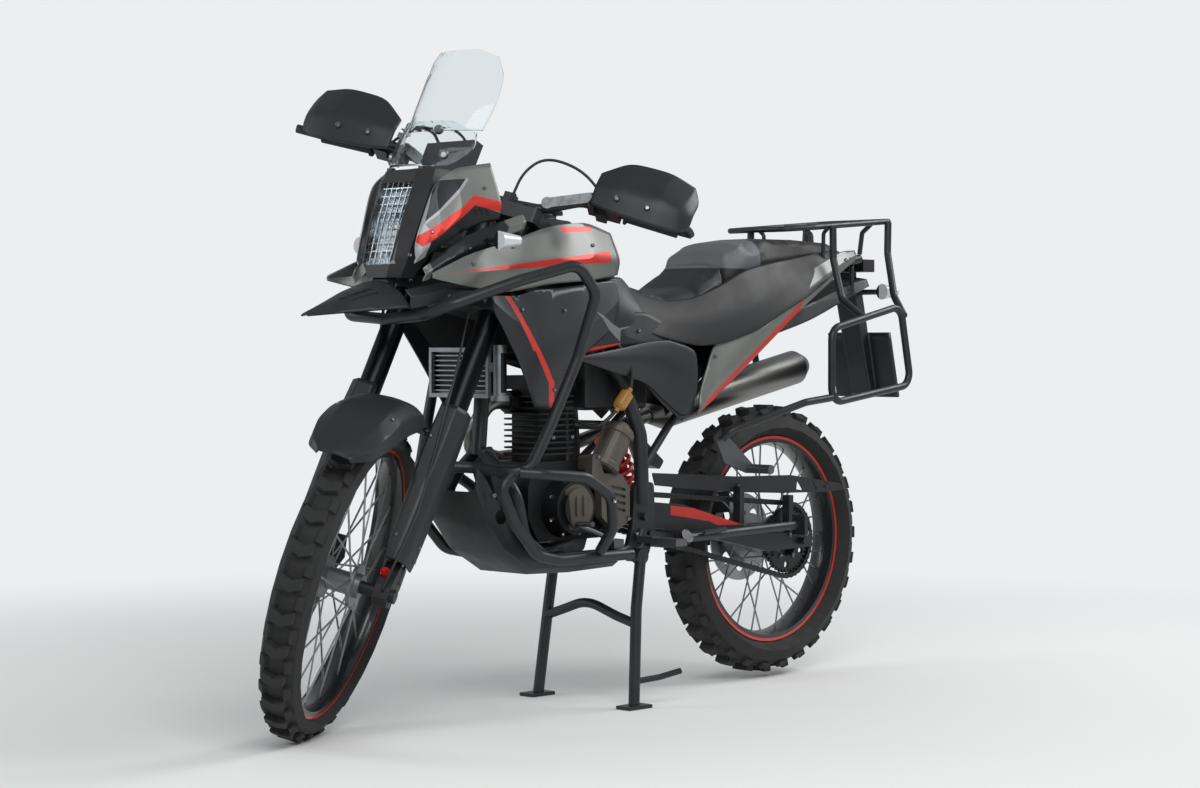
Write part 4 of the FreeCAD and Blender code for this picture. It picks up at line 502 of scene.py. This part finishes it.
# a field of small vent holes 9 mm apart, painted near black for the shade inside them
dots = add(tree, "ShaderNodeTexVoronoi",
           {"Vector": where.outputs["Object"], "Scale": 110.0, "Randomness": 0.0})
holes = add(tree, "ShaderNodeMath", {0: dots.outputs["Distance"], 1: 0.32},
            operation="LESS_THAN")
dotted = add(tree, "ShaderNodeMath", {0: holes.outputs[0], 1: side}, operation="MULTIPLY")
shade = stripe(tree, shader, shade, "#08090A",
               [(902, 822), (846, 830), (838, 740), (872, 724)], limit=dotted.outputs[0])
shade = stripe(tree, shader, shade, WEDGE, [(745, 905), (650, 866), (640, 829)], limit=side)
stripe(tree, shader, shade, RED, [(1040, 936), (1024, 936), (938, 820), (956, 814)],
       [(956, 822), (938, 822), (882, 745), (900, 745)],
       [(900, 750), (882, 750), (872, 690), (890, 690)], limit=side)
paint(graphite, "lower_shrouds")
cover_plastic, tree, shader = finish("moulded_abs_side_cover", BLACK, 0.0, 0.42)
shade = worn(tree, shader, "#131416", "#1E1F22", 120.0, (0.36, 0.48))
grain(tree, shader, 1.0, 0.05, 0.5)
side = outer(tree)
shade = stripe(tree, shader, shade, WEDGE, [(745, 905), (650, 866), (640, 831)],
               [(651, 866), (552, 880), (552, 852), (640, 833)], limit=side)
stripe(tree, shader, shade, RED, [(800, 802), (640, 823), (640, 833), (800, 815)], limit=side)

# Screens
# The windscreen and its deflector are injection moulded polycarbonate, clear and glossy, 4 mm
# thick. Their IOR is low, because so thin a sheet hardly bends the view behind it.
polycarbonate, tree, shader = finish("clear_polycarbonate", "#EEF4F6", 0.0, 0.04,
                                     {"Transmission Weight": 1.0, "IOR": 1.2})
paint(polycarbonate, "windscreen", "wind_deflector")

# Headlight
# A black moulded housing with an aluminised recess, two round lamps, a steel wire grille in
# front of them and a clear moulded lens over all.
housing, tree, shader = finish("aluminised_lamp_housing", "#1F2022", 0.0, 0.4)
where = add(tree, "ShaderNodeTexCoord")
place = add(tree, "ShaderNodeSeparateXYZ", {0: where.outputs["Object"]})
narrow = add(tree, "ShaderNodeMath", {0: place.outputs["Y"], 1: 0.0, 2: 0.0515},
             operation="COMPARE")
recess = inside(tree, [(1262, 1001), (1206, 1177), (1160, 1177), (1216, 1001)])
bright = add(tree, "ShaderNodeMath", {0: narrow.outputs[0], 1: recess}, operation="MULTIPLY")
two_finishes(tree, shader, bright.outputs[0], ("#1F2022", "#8E9397"), (0.0, 1.0), (0.42, 0.26))
paint(housing, "headlight")

# Signals and tail lamp
# Black rubber stalks with clear lenses of moulded acrylic at their ends, and a red lens under
# the rack.
lens, tree, shader = finish("moulded_acrylic_lens", "#E4E7EA", 0.0, 0.12, {"Coat Weight": 0.6})
where = add(tree, "ShaderNodeTexCoord")
place = add(tree, "ShaderNodeSeparateXYZ", {0: where.outputs["Object"]})
out = add(tree, "ShaderNodeMath", {0: place.outputs["Y"]}, operation="ABSOLUTE")
front = add(tree, "ShaderNodeMath", {0: place.outputs["X"], 1: 0.0}, operation="GREATER_THAN")
# where the stalks end, at the rear and in front
stalk = add(tree, "ShaderNodeMapRange",
            {"Value": front.outputs[0], "To Min": 0.118, "To Max": 0.222})
tip = add(tree, "ShaderNodeMath", {0: out.outputs[0], 1: stalk.outputs[0]},
          operation="GREATER_THAN")
near = add(tree, "ShaderNodeMath", {0: out.outputs[0], 1: 0.0582}, operation="LESS_THAN")
back = add(tree, "ShaderNodeMath", {0: place.outputs["X"], 1: at(-374, 0, 0).x},
           operation="LESS_THAN")
tail = add(tree, "ShaderNodeMath", {0: near.outputs[0], 1: back.outputs[0]},
           operation="MULTIPLY")
shade = add(tree, "ShaderNodeMix",
            {0: tip.outputs[0], 6: colour("#1C1D1F"), 7: colour("#C9CDD0")}, data_type="RGBA")
shade = add(tree, "ShaderNodeMix",
            {0: tail.outputs[0], 6: shade.outputs[2], 7: colour("#8E1B16")}, data_type="RGBA")
tree.links.new(shade.outputs[2], shader.inputs["Base Color"])
paint(lens, "signal_lamps")

# Footrests
# Investment cast steel, zinc plated, which leaves them dull grey with a faint grain from the
# casting.
zinc_plate, tree, shader = finish("zinc_plated_steel", "#6E7073", 0.9, 0.42)
grain(tree, shader, 1.0, 0.04, 0.5)
paint(zinc_plate, "footrests")

# Seats
# Two foam pads under a grained vinyl cover, the hump between them in grey. Each pad starts a
# little inside its solid and swells against the cover.
VOXEL = 0.006
INSET = 0.004
FURTHEST = 0.007
PRESSURE = 4.0
CLOTH_STEPS = 20


def seat_vinyl(name):
    """Black vinyl with a leather grain, its tree and shader, and its colour's socket."""
    made, tree, shader = finish(name, "#18181A", 0.0, 0.55)
    grain(tree, shader, 1.6, 0.25, 0.7)
    return made, tree, shader, worn(tree, shader, "#141416", "#1D1D1F", 80.0, (0.5, 0.62))


vinyl, tree, shader, shade = seat_vinyl("grained_seat_vinyl_black")
stripe(tree, shader, shade, "#57595C", [(345, 1012), (128, 1010), (128, 1120), (345, 1120)])
paint(vinyl, "rider_seat", "passenger_seat")


def applied(shape):
    """A new mesh of a shape as its modifiers leave it."""
    view = bpy.context.evaluated_depsgraph_get()
    return bpy.data.meshes.new_from_object(shape.evaluated_get(view))


def subdivide(shape, levels):
    """A subdivision as fine in the view as in the render."""
    rounding = shape.modifiers.new("subdivision", "SUBSURF")
    rounding.levels = levels
    rounding.render_levels = levels


def swell(name):
    """A pad from a CAD seat: remeshed, set in, swollen as cloth and smoothed."""
    mesh = applied(nodes[name])
    pad = bpy.data.objects.new(f"{name}_pad", mesh)
    bpy.context.scene.collection.objects.link(pad)
    bm = bmesh.new()
    bm.from_mesh(mesh)
    bmesh.ops.remove_doubles(bm, verts=bm.verts, dist=0.0001)
    bmesh.ops.recalc_face_normals(bm, faces=bm.faces)
    bm.to_mesh(mesh)
    bm.free()
    remesh = pad.modifiers.new("remesh", "REMESH")
    remesh.mode = "VOXEL"
    remesh.voxel_size = VOXEL
    mesh = applied(pad)
    pad.modifiers.clear()
    pad.data = mesh
    bm = bmesh.new()
    bm.from_mesh(mesh)
    bmesh.ops.smooth_vert(bm, verts=bm.verts, factor=0.5, use_axis_x=True, use_axis_y=True,
                          use_axis_z=True)
    bm.normal_update()
    for vert in bm.verts:
        vert.co -= vert.normal * INSET
    bm.to_mesh(mesh)
    bm.free()
    start = [v.co.copy() for v in mesh.vertices]
    cloth = pad.modifiers.new("cloth", "CLOTH")
    cloth.settings.use_pressure = True
    cloth.settings.uniform_pressure_force = PRESSURE
    cloth.settings.effector_weights.gravity = 0.0
    cloth.settings.quality = 5
    for step in range(1, CLOTH_STEPS + 1):
        bpy.context.scene.frame_set(step)
    swollen = applied(pad)
    pad.modifiers.clear()
    bpy.context.scene.frame_set(1)
    for vert, rest, moved in zip(mesh.vertices, start, swollen.vertices):
        shift = moved.co - rest
        if shift.length > FURTHEST:
            shift *= FURTHEST / shift.length
        vert.co = rest + shift
    subdivide(pad, 1)
    mesh.polygons.foreach_set("use_smooth", [True] * len(mesh.polygons))
    mesh.materials.clear()
    mesh.materials.append(vinyl)
    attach(pad, "frame")
    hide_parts(name)


swell("rider_seat")
swell("passenger_seat")

# Side covers and seat skirt
# The tank's side cover and the knee cover are thin black ABS mouldings clipped to the frame.
# The skirt is vinyl like the seats', and closes the gap between them and the panels.
side_vinyl = seat_vinyl("grained_skirt_vinyl_black")[0]
WALL = 0.0025


def piece(name, bm, material, body):
    """The finished mesh as an object of this material that rides on a body."""
    bmesh.ops.remove_doubles(bm, verts=bm.verts, dist=0.000005)
    bmesh.ops.recalc_face_normals(bm, faces=bm.faces)
    mesh = bpy.data.meshes.new(name)
    bm.to_mesh(mesh)
    bm.free()
    mesh.materials.append(material)
    made = bpy.data.objects.new(name, mesh)
    bpy.context.scene.collection.objects.link(made)
    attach(made, body)
    return made


def between(row, following, share):
    """The values at a share of the way from one row to the next."""
    return [a + (b - a) * share for a, b in zip(row, following)]


def cover(name, rows, material):
    """A thin curved cover on each side, through rows of place and three points, low to high."""
    bm = bmesh.new()
    for side in (1.0, -1.0):
        made = bmesh.ops.create_grid(bm, x_segments=(len(rows) - 1) * 2, y_segments=4, size=0.5)
        for vert in made["verts"]:
            along = (vert.co.x + 0.5) * (len(rows) - 1)
            first = min(int(along + 1e-4), len(rows) - 2)
            row = between(rows[first], rows[first + 1], along - first)
            up = (vert.co.y + 0.5) * 2
            low = min(int(up + 1e-4), 1)
            y, z = between(row[1 + 2 * low:3 + 2 * low], row[3 + 2 * low:5 + 2 * low], up - low)
            vert.co = at(row[0], side * y, z)
    bmesh.ops.recalc_face_normals(bm, faces=bm.faces)
    bmesh.ops.solidify(bm, geom=bm.faces[:], thickness=WALL)
    for face in bm.faces:
        face.smooth = True
    subdivide(piece(name, bm, material, "frame"), 1)


# place from the rear axle, then out from the middle and height, low to high
cover("tank_side_cover", (
    (800, 128, 800, 138, 860, 128, 930), (655, 128, 822, 134, 902, 116, 985),
    (600, 132, 834, 130, 905, 90, 985), (556, 134, 846, 120, 905, 78, 958)), cover_plastic)
cover("knee_cover", (
    (800, 138, 796, 139, 798, 139, 800), (720, 136, 776, 144, 795, 140, 812),
    (640, 132, 756, 146, 794, 140, 824), (560, 130, 738, 149, 790, 141, 838),
    (500, 131, 694, 151, 780, 143, 842), (440, 135, 654, 152, 750, 146, 828),
    (404, 138, 680, 152, 738, 148, 812)), cover_plastic)
cover("seat_skirt", (
    (585, 134, 862, 104, 925, 58, 978), (525, 142, 846, 122, 900, 84, 945),
    (467, 146, 834, 134, 888, 106, 930), (388, 150, 822, 144, 888, 118, 938),
    (299, 155, 834, 150, 905, 120, 968), (198, 160, 861, 152, 935, 116, 1012),
    (98, 156, 905, 142, 965, 118, 1030), (4, 150, 942, 132, 990, 110, 1042),
    (-113, 124, 990, 112, 1024, 88, 1060), (-200, 112, 1042, 98, 1054, 78, 1068)), side_vinyl)

# Moulded shapes
# Injection moulded panels, guards and screens: their outlines stay crisp while the faces
# between them run into each other, as the tool's polished cavity leaves them.
# faces that turn less are one, edges that bend more stay crisp, and longer ones are halved
ONE_FACE = math.radians(3.0)
CRISP = math.radians(48.0)
LONG_EDGE = 0.03


def moulded(name, body, material):
    """A merged copy of a CAD node, subdivided between its creased rims, that stands for it."""
    bm = bmesh.new()
    bm.from_mesh(nodes[name].data)
    bmesh.ops.remove_doubles(bm, verts=bm.verts, dist=SAME_POINT)
    bmesh.ops.dissolve_limit(bm, angle_limit=ONE_FACE, verts=bm.verts, edges=bm.edges)
    bmesh.ops.triangulate(bm, faces=[f for f in bm.faces if len(f.verts) > 4])
    bmesh.ops.join_triangles(bm, faces=[f for f in bm.faces if len(f.verts) == 3],
                             angle_face_threshold=0.5, angle_shape_threshold=1.2)
    bmesh.ops.subdivide_edges(bm, edges=[e for e in bm.edges if e.calc_length() > LONG_EDGE],
                              cuts=1, use_grid_fill=True)
    crease = bm.edges.layers.float.new("crease_edge")
    for edge in bm.edges:
        if not edge.is_manifold or edge.calc_face_angle(0.0) > CRISP:
            edge[crease] = 1.0
    for face in bm.faces:
        face.smooth = True
    made = piece(f"{name}_moulding", bm, material, body)
    subdivide(made, 2)
    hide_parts(name)
    return made


shown = dict(nodes)
for body, names in (("steering", ("handguards", "front_fender", "fork_guards")),
                    ("frame", ("fairing", "tank_shrouds", "lower_shrouds", "side_panels",
                               "tail_panels", "beak", "fuel_tank", "windscreen",
                               "wind_deflector", "rear_fender"))):
    for name in names:
        shown[name] = moulded(name, body, nodes[name].data.materials[0])
bpy.context.view_layer.update()

# Starter housing
# A die cast barrel with end caps leans on the crankcase behind the cylinder, and two ribs
# stand on the generator's cover, all painted as the crankcase is.


def facing(place, heading):
    """The turn and place that set a shape's own Z along a heading."""
    return Matrix.Translation(place) @ heading.to_track_quat("Z", "Y").to_matrix().to_4x4()


def barrel(bm, foot, top, sections, edge=0.0):
    """Round sections along a line, each from its radius and where it starts and ends on it."""
    for radius, low, high in sections:
        start, end = foot + (top - foot) * low, foot + (top - foot) * high
        made = bmesh.ops.create_cone(bm, cap_ends=True, segments=32, radius1=radius,
                                     radius2=radius, depth=(end - start).length,
                                     matrix=facing((start + end) / 2, (top - foot).normalized()))
        if edge:
            rims = {e for v in made["verts"] for e in v.link_edges
                    if e.calc_face_angle(0.0) > 1.0}
            bmesh.ops.bevel(bm, geom=list(rims), offset=edge, segments=2, affect="EDGES",
                            profile=0.5, material=-1)


def block(bm, turn, size, edge, segments=2):
    """A box of this size with rounded edges, set in place by a matrix."""
    made = bmesh.ops.create_cube(bm, size=1.0, matrix=turn @ Matrix.Diagonal((*size, 1.0)))
    rims = {e for v in made["verts"] for e in v.link_edges}
    bmesh.ops.bevel(bm, geom=list(rims), offset=edge, segments=segments, affect="EDGES",
                    profile=0.5, material=-1)


bm = bmesh.new()
barrel(bm, at(668, 92, 545), at(606, 92, 636),
       ((0.034, 0.0, 1.0), (0.038, 0.02, 0.16), (0.038, 0.8, 0.94), (0.02, 1.0, 1.1)), 0.0025)
inward = Vector((0.0, -1.0, 0.0))
_, place, _, _ = nodes["engine_case"].ray_cast(at(GENERATOR_X, 400, GENERATOR_Z), inward)
for offset in (-0.014, 0.008):
    block(bm, Matrix.Translation(place + Vector((offset, 0.0, 0.004))), (0.007, 0.009, 0.046),
          0.002)
piece("starter_housing", bm, bronze_paint, "frame")

# Air box
# A box of moulded polypropylene under the seat feeds the cylinder through a ribbed boot. Both
# stay in the dark behind the side covers.
bm = bmesh.new()
block(bm, Matrix.Translation(at(585, 0, 768)), (0.21, 0.13, 0.18), 0.014, 3)
barrel(bm, at(680, 0, 740), at(744, 0, 712),
       ((0.03, 0.0, 1.0), (0.035, 0.15, 0.3), (0.035, 0.75, 0.9)))
piece("air_box", bm, polypropylene, "frame")

# Socket bolts
# Zinc plated cap screws with hexagon sockets, turned and rolled. They hold the panels, guards,
# covers and clamps, and each stands on the surface that a straight line meets.
bolt_steel, tree, shader = finish("zinc_plated_bolt_steel", "#85878A", 1.0, 0.32)
worn(tree, shader, "#6F7174", "#96989B", 8.0, (0.26, 0.42))
# how deep a head sits in what it holds, and the shares of its taper and of its socket
SUNK, TAPER, SOCKET_RIM, SOCKET_DEPTH = 0.0008, 0.94, 0.42, 0.55


def screw(bm, node, start, heading, radius=0.005, height=0.005):
    """A cap screw where a line from a start along a heading first meets a CAD node."""
    met, place, normal, _ = shown[node].ray_cast(start, heading)
    if not met:
        return
    if normal.dot(heading) > 0.0:
        normal = -normal
    made = bmesh.ops.create_cone(bm, cap_ends=True, segments=12, radius1=radius,
                                 radius2=radius * TAPER, depth=height,
                                 matrix=facing(place + normal * (height / 2 - SUNK), normal))
    top = max((f for v in made["verts"] for f in v.link_faces),
              key=lambda f: f.calc_center_median().dot(normal))
    bmesh.ops.inset_region(bm, faces=[top], thickness=radius * SOCKET_RIM)
    bmesh.ops.translate(bm, verts=top.verts, vec=-normal * height * SOCKET_DEPTH)


bm = bmesh.new()
# CAD node, place from the rear axle and height, radius; the same on both sides
for node, x, z, radius in (
        ("fairing", 1205, 1068, 4.0), ("fairing", 1075, 1165, 4.0), ("fairing", 1140, 1035, 4.0),
        ("tank_shrouds", 1150, 1000, 4.5), ("tank_shrouds", 1020, 1040, 4.5),
        ("tank_shrouds", 760, 1050, 4.5), ("tank_shrouds", 900, 985, 4.5),
        ("lower_shrouds", 990, 905, 4.5), ("lower_shrouds", 850, 905, 4.5),
        ("lower_shrouds", 880, 730, 4.5), ("side_panels", 590, 860, 4.5),
        ("side_panels", 470, 700, 4.5), ("side_panels", 430, 800, 4.5),
        ("tail_panels", 340, 800, 4.5), ("tail_panels", 100, 930, 4.5),
        ("tail_panels", -190, 1040, 4.5), ("chain_guard", 200, 490, 4.0),
        ("main_frame", 610, 352, 9.0), ("main_frame", 575, 395, 6.0),
        ("skid_plate", 1010, 500, 6.0), ("skid_plate", 780, 345, 6.0),
        ("headlight", 1235, 1020, 4.5), ("beak", 1190, 935, 4.0),
        ("swingarm", -20, 365, 8.0), ("swingarm", 40, 362, 5.0), ("crash_bars", 773, 485, 6.0)):
    for side in (1.0, -1.0):
        screw(bm, node, at(x, 420 * side, z), inward * side, radius / 1000, radius / 1100)
# the engine's two round covers: their screws lie on a circle
for i in range(8):
    around = math.radians(22.5 + 45 * i)
    across, up = math.cos(around), math.sin(around)
    screw(bm, "engine_case", at(GENERATOR_X + 64 * across, 400, GENERATOR_Z + 64 * up), inward)
    screw(bm, "engine_case", at(750 + 78 * across, -400, 466 + 78 * up), -inward)
for x, z in ((600, 430), (640, 412), (700, 575)):
    screw(bm, "sprocket_cover", at(x, 400, z), inward)
for x, z in ((740, 740), (800, 740), (740, 620), (800, 620)):
    screw(bm, "cylinder", at(x, 400, z), inward, 0.0055)
for y, z in ((84, 1236), (60, 1290)):
    for side in (1.0, -1.0):
        screw(bm, "windscreen", at(1500, y * side, z), Vector((-1.0, 0.0, 0.0)), 0.011, 0.007)
piece("frame_screws", bm, bolt_steel, "frame")

bm = bmesh.new()
# CAD node, distance from the middle, station along the fork or bar, radius
for node, y, station, radius in (
        ("handguards", 292, 1328, 7.0), ("handguards", 362, 1326, 7.0),
        ("fork_guards", 92, 470, 4.0), ("fork_guards", 84, 700, 4.0),
        ("front_fender", 60, 640, 4.0), ("fork_clamps", 110, 1030, 5.0),
        ("fork_clamps", 86, 1030, 5.0)):
    for side in (1.0, -1.0):
        screw(bm, node, on_fork(400, side * y, station), -AHEAD, radius / 1000, radius / 1100)
for x, y in ((14, 30), (14, -30), (0, 50), (0, -50)):
    screw(bm, "fork_clamps", on_fork(x, y, 1500), -UP, 0.006, 0.006)
for x, station in ((48, 470), (40, 440)):
    screw(bm, "fork_guards", on_fork(x, 400, station), -LEFT, 0.0045, 0.004)
piece("steering_screws", bm, bolt_steel, "steering")

# Fork caps
# A turned aluminium cap, anodised red, is screwed into the foot of each leg in front of the
# axle.
red_caps, tree, shader = finish("anodised_aluminium_red", "#C2231C", 0.5, 0.3)
grain(tree, shader, 1.0, 0.01, 0.3)
bm = bmesh.new()
for side in (1.0, -1.0):
    screw(bm, "fork_inner_tubes", on_fork(400, side * 90, 392), -AHEAD, 0.011, 0.008)
piece("fork_caps", bm, red_caps, "steering")

# Disc and sprocket fixings
# Six of the same cap screws on a circle round each hub hold the discs on one side of the
# wheels and the sprocket on the other.
# body, CAD node, radius of the circle, side
for body, node, reach, side in (("front_wheel", "front_disc", 0.044, -1.0),
                                ("rear_wheel", "rear_disc", 0.047, -1.0),
                                ("rear_wheel", "rear_sprocket", 0.046, 1.0)):
    bm = bmesh.new()
    wheel = wheels[f"{body}_spin"]
    axle = Vector(wheel["axis"]).normalized() * side
    turn = facing(Vector(wheel["pos_m"]), axle)
    for i in range(6):
        around = math.radians(60 * i)
        start = turn @ Vector((reach * math.cos(around), reach * math.sin(around), 0.3))
        screw(bm, node, start, -axle, 0.006)
    piece(f"{node}_screws", bm, bolt_steel, body)

# Cables and hoses
# Rubber covered control cables arch from each hand control over the instruments to the
# steering head; two fuel hoses join a clear amber filter under the tank.
cable_rubber, tree, shader = finish("extruded_cable_rubber", "#19191A", 0.0, 0.5)
grain(tree, shader, 1.0, 0.03, 0.4)
CABLE_RADIUS = 0.0032
HOSE_RADIUS = 0.0045


def line(name, points, radius, body):
    """A smooth round cable or hose along a few points, fixed to the body at both ends."""
    curve = bpy.data.curves.new(name, "CURVE")
    curve.dimensions = "3D"
    curve.bevel_depth = radius
    curve.bevel_resolution = 3
    curve.use_fill_caps = True
    run = curve.splines.new("NURBS")
    run.points.add(len(points) - 1)
    for point, place in zip(run.points, points):
        point.co = (*place, 1.0)
    run.order_u = 3
    run.use_endpoint_u = True
    run.resolution_u = 6
    curve.materials.append(cable_rubber)
    made = bpy.data.objects.new(name, curve)
    bpy.context.scene.collection.objects.link(made)
    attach(made, body)


# the throttle cable mirrors the clutch cable and arches a little higher
for name, side, lift in (("clutch_cable", 1, 0), ("throttle_cable", -1, 8)):
    route = ((30, 262, 1340), (52, 236, 1360 + lift), (66, 180, 1392 + lift),
             (70, 100, 1396 + lift), (64, 62, 1350), (56, 56, 1290), (50, 54, 1255))
    line(name, [on_fork(x, side * y, z) for x, y, z in route], CABLE_RADIUS, "steering")
for name, route in (
        ("fuel_hose_upper", ((700, 100, 880), (640, 132, 820), (610, 140, 770), (622, 138, 725))),
        ("fuel_hose_lower", ((664, 134, 680), (692, 128, 650), (716, 96, 640), (730, 62, 660)))):
    line(name, [at(*point) for point in route], HOSE_RADIUS, "frame")


def turned(bm, rim, turn, steps):
    """A shape turned from a rim of radii and heights, set in place by a matrix."""
    verts = [bm.verts.new((r, 0.0, z)) for r, z in rim]
    edges = [bm.edges.new(pair) for pair in zip(verts, verts[1:])]
    bmesh.ops.spin(bm, geom=verts + edges, cent=(0, 0, 0), axis=(0, 0, 1), angle=math.tau,
                   steps=steps, use_merge=True)
    bmesh.ops.transform(bm, matrix=turn, verts=bm.verts)


amber, tree, shader = finish("moulded_nylon_filter_amber", "#B98A3E", 0.0, 0.25,
                             {"Transmission Weight": 0.35, "Coat Weight": 0.3})
grain(tree, shader, 2.0, 0.02, 0.3)
bm = bmesh.new()
top, foot = at(618, 138, 731), at(668, 134, 674)
turned(bm, ((0.0, -0.034), (0.006, -0.034), (0.006, -0.026), (0.012, -0.022), (0.016, -0.018),
            (0.016, 0.018), (0.012, 0.022), (0.006, 0.026), (0.006, 0.034), (0.0, 0.034)),
       facing((top + foot) / 2, (top - foot).normalized()), 24)
piece("fuel_filter", bm, amber, "frame")

# Alloy arms
# Flat bars of bare brushed aluminium carry the handguards, each from an eye beside the
# handlebar's clamp.
bare_alloy, tree, shader = finish("brushed_aluminium_bar", "#B4B6B8", 1.0, 0.28)
worn(tree, shader, "#A4A6A8", "#BEC0C2", 12.0, (0.22, 0.36))
bm = bmesh.new()
for side in (1, -1):
    start, end = on_fork(34, side * 130, 1306), on_fork(36, side * 222, 1346)
    turn = facing((start + end) / 2, (end - start).normalized())
    block(bm, turn, (0.007, 0.022, (end - start).length), 0.0015)
    eye = facing(start, turn.to_3x3() @ Vector((1.0, 0.0, 0.0)))
    for radius, depth in ((0.013, 0.009), (0.005, 0.014)):
        bmesh.ops.create_cone(bm, cap_ends=True, segments=24, radius1=radius, radius2=radius,
                              depth=depth, matrix=eye)
piece("guard_arms", bm, bare_alloy, "steering")

# Headlight lens
# A clear polycarbonate cover, pressed in front of the grille and held at its rim. It bulges
# 4 mm in the middle, and its low IOR keeps the lamps behind it in sight.
lamp_lens, tree, shader = finish("clear_lamp_lens", "#F2F6F8", 0.0, 0.05,
                                 {"Transmission Weight": 1.0, "IOR": 1.15})
grain(tree, shader, 8.0, 0.01, 0.2)
BULGE = 4.0
LENS_WALL = 0.002
# height, place from the rear axle, half width
rows = ((1002, 1259.6, 44), (1090, 1237.2, 50), (1177, 1205.8, 51))
bm = bmesh.new()
bmesh.ops.create_grid(bm, x_segments=6, y_segments=8, size=0.5)
for vert in bm.verts:
    up = vert.co.y + 0.5
    low = 0 if up < 0.5 else 1
    z, x, half = between(rows[low], rows[low + 1], up * 2 - low)
    out = vert.co.x * 2
    vert.co = at(x + BULGE * (1 - out ** 2), out * half, z)
bmesh.ops.solidify(bm, geom=bm.faces[:], thickness=LENS_WALL)
piece("lamp_lens", bm, lamp_lens, "frame")

# Side stand spring
# Wound of spring steel wire, left bare and a little stained, and hooked between two pins on
# the stand's leg.
spring_steel, tree, shader = finish("wound_spring_steel", "#5C5E61", 1.0, 0.35)
worn(tree, shader, "#4A4C4E", "#6A6C6F", 6.0, (0.3, 0.45))
# radius of the wire and of the coil, the coil's length, its turns, and the steps of a turn
wire, coil, length, turns, steps = 0.0012, 0.0055, 0.075, 22, 10
bm = bmesh.new()
bmesh.ops.create_circle(bm, segments=6, radius=wire, matrix=Matrix.Translation((coil, 0, 0))
                        @ Matrix.Rotation(math.pi / 2, 4, "X"))
bmesh.ops.spin(bm, geom=bm.verts[:] + bm.edges[:], cent=(0, 0, 0), axis=(0, 0, 1),
               dvec=(0, 0, length / (turns * steps)), angle=turns * math.tau,
               steps=turns * steps)
bmesh.ops.holes_fill(bm, edges=[e for e in bm.edges if e.is_boundary])
heading = (at(312, 151, 396) - at(420, 147, 388)).normalized()
bmesh.ops.transform(bm, matrix=facing(at(400, 163.5, 389), heading), verts=bm.verts)
piece("side_stand_spring", bm, spring_steel, "side_stand")

# Tank cap
# A turned aluminium cap, anodised black as the calipers are, with a lid over the lock. It
# stands on the tank where a line from above meets it.
bm = bmesh.new()
_, place, normal, _ = shown["fuel_tank"].ray_cast(at(760, 0, 1300), Vector((0.0, 0.0, -1.0)))
turned(bm, ((0.0, -0.002), (0.042, -0.002), (0.042, 0.006), (0.039, 0.010), (0.030, 0.011),
            (0.029, 0.009), (0.012, 0.009), (0.011, 0.013), (0.0, 0.013)),
       facing(place, normal), 48)
piece("tank_cap", bm, caliper_paint, "frame")
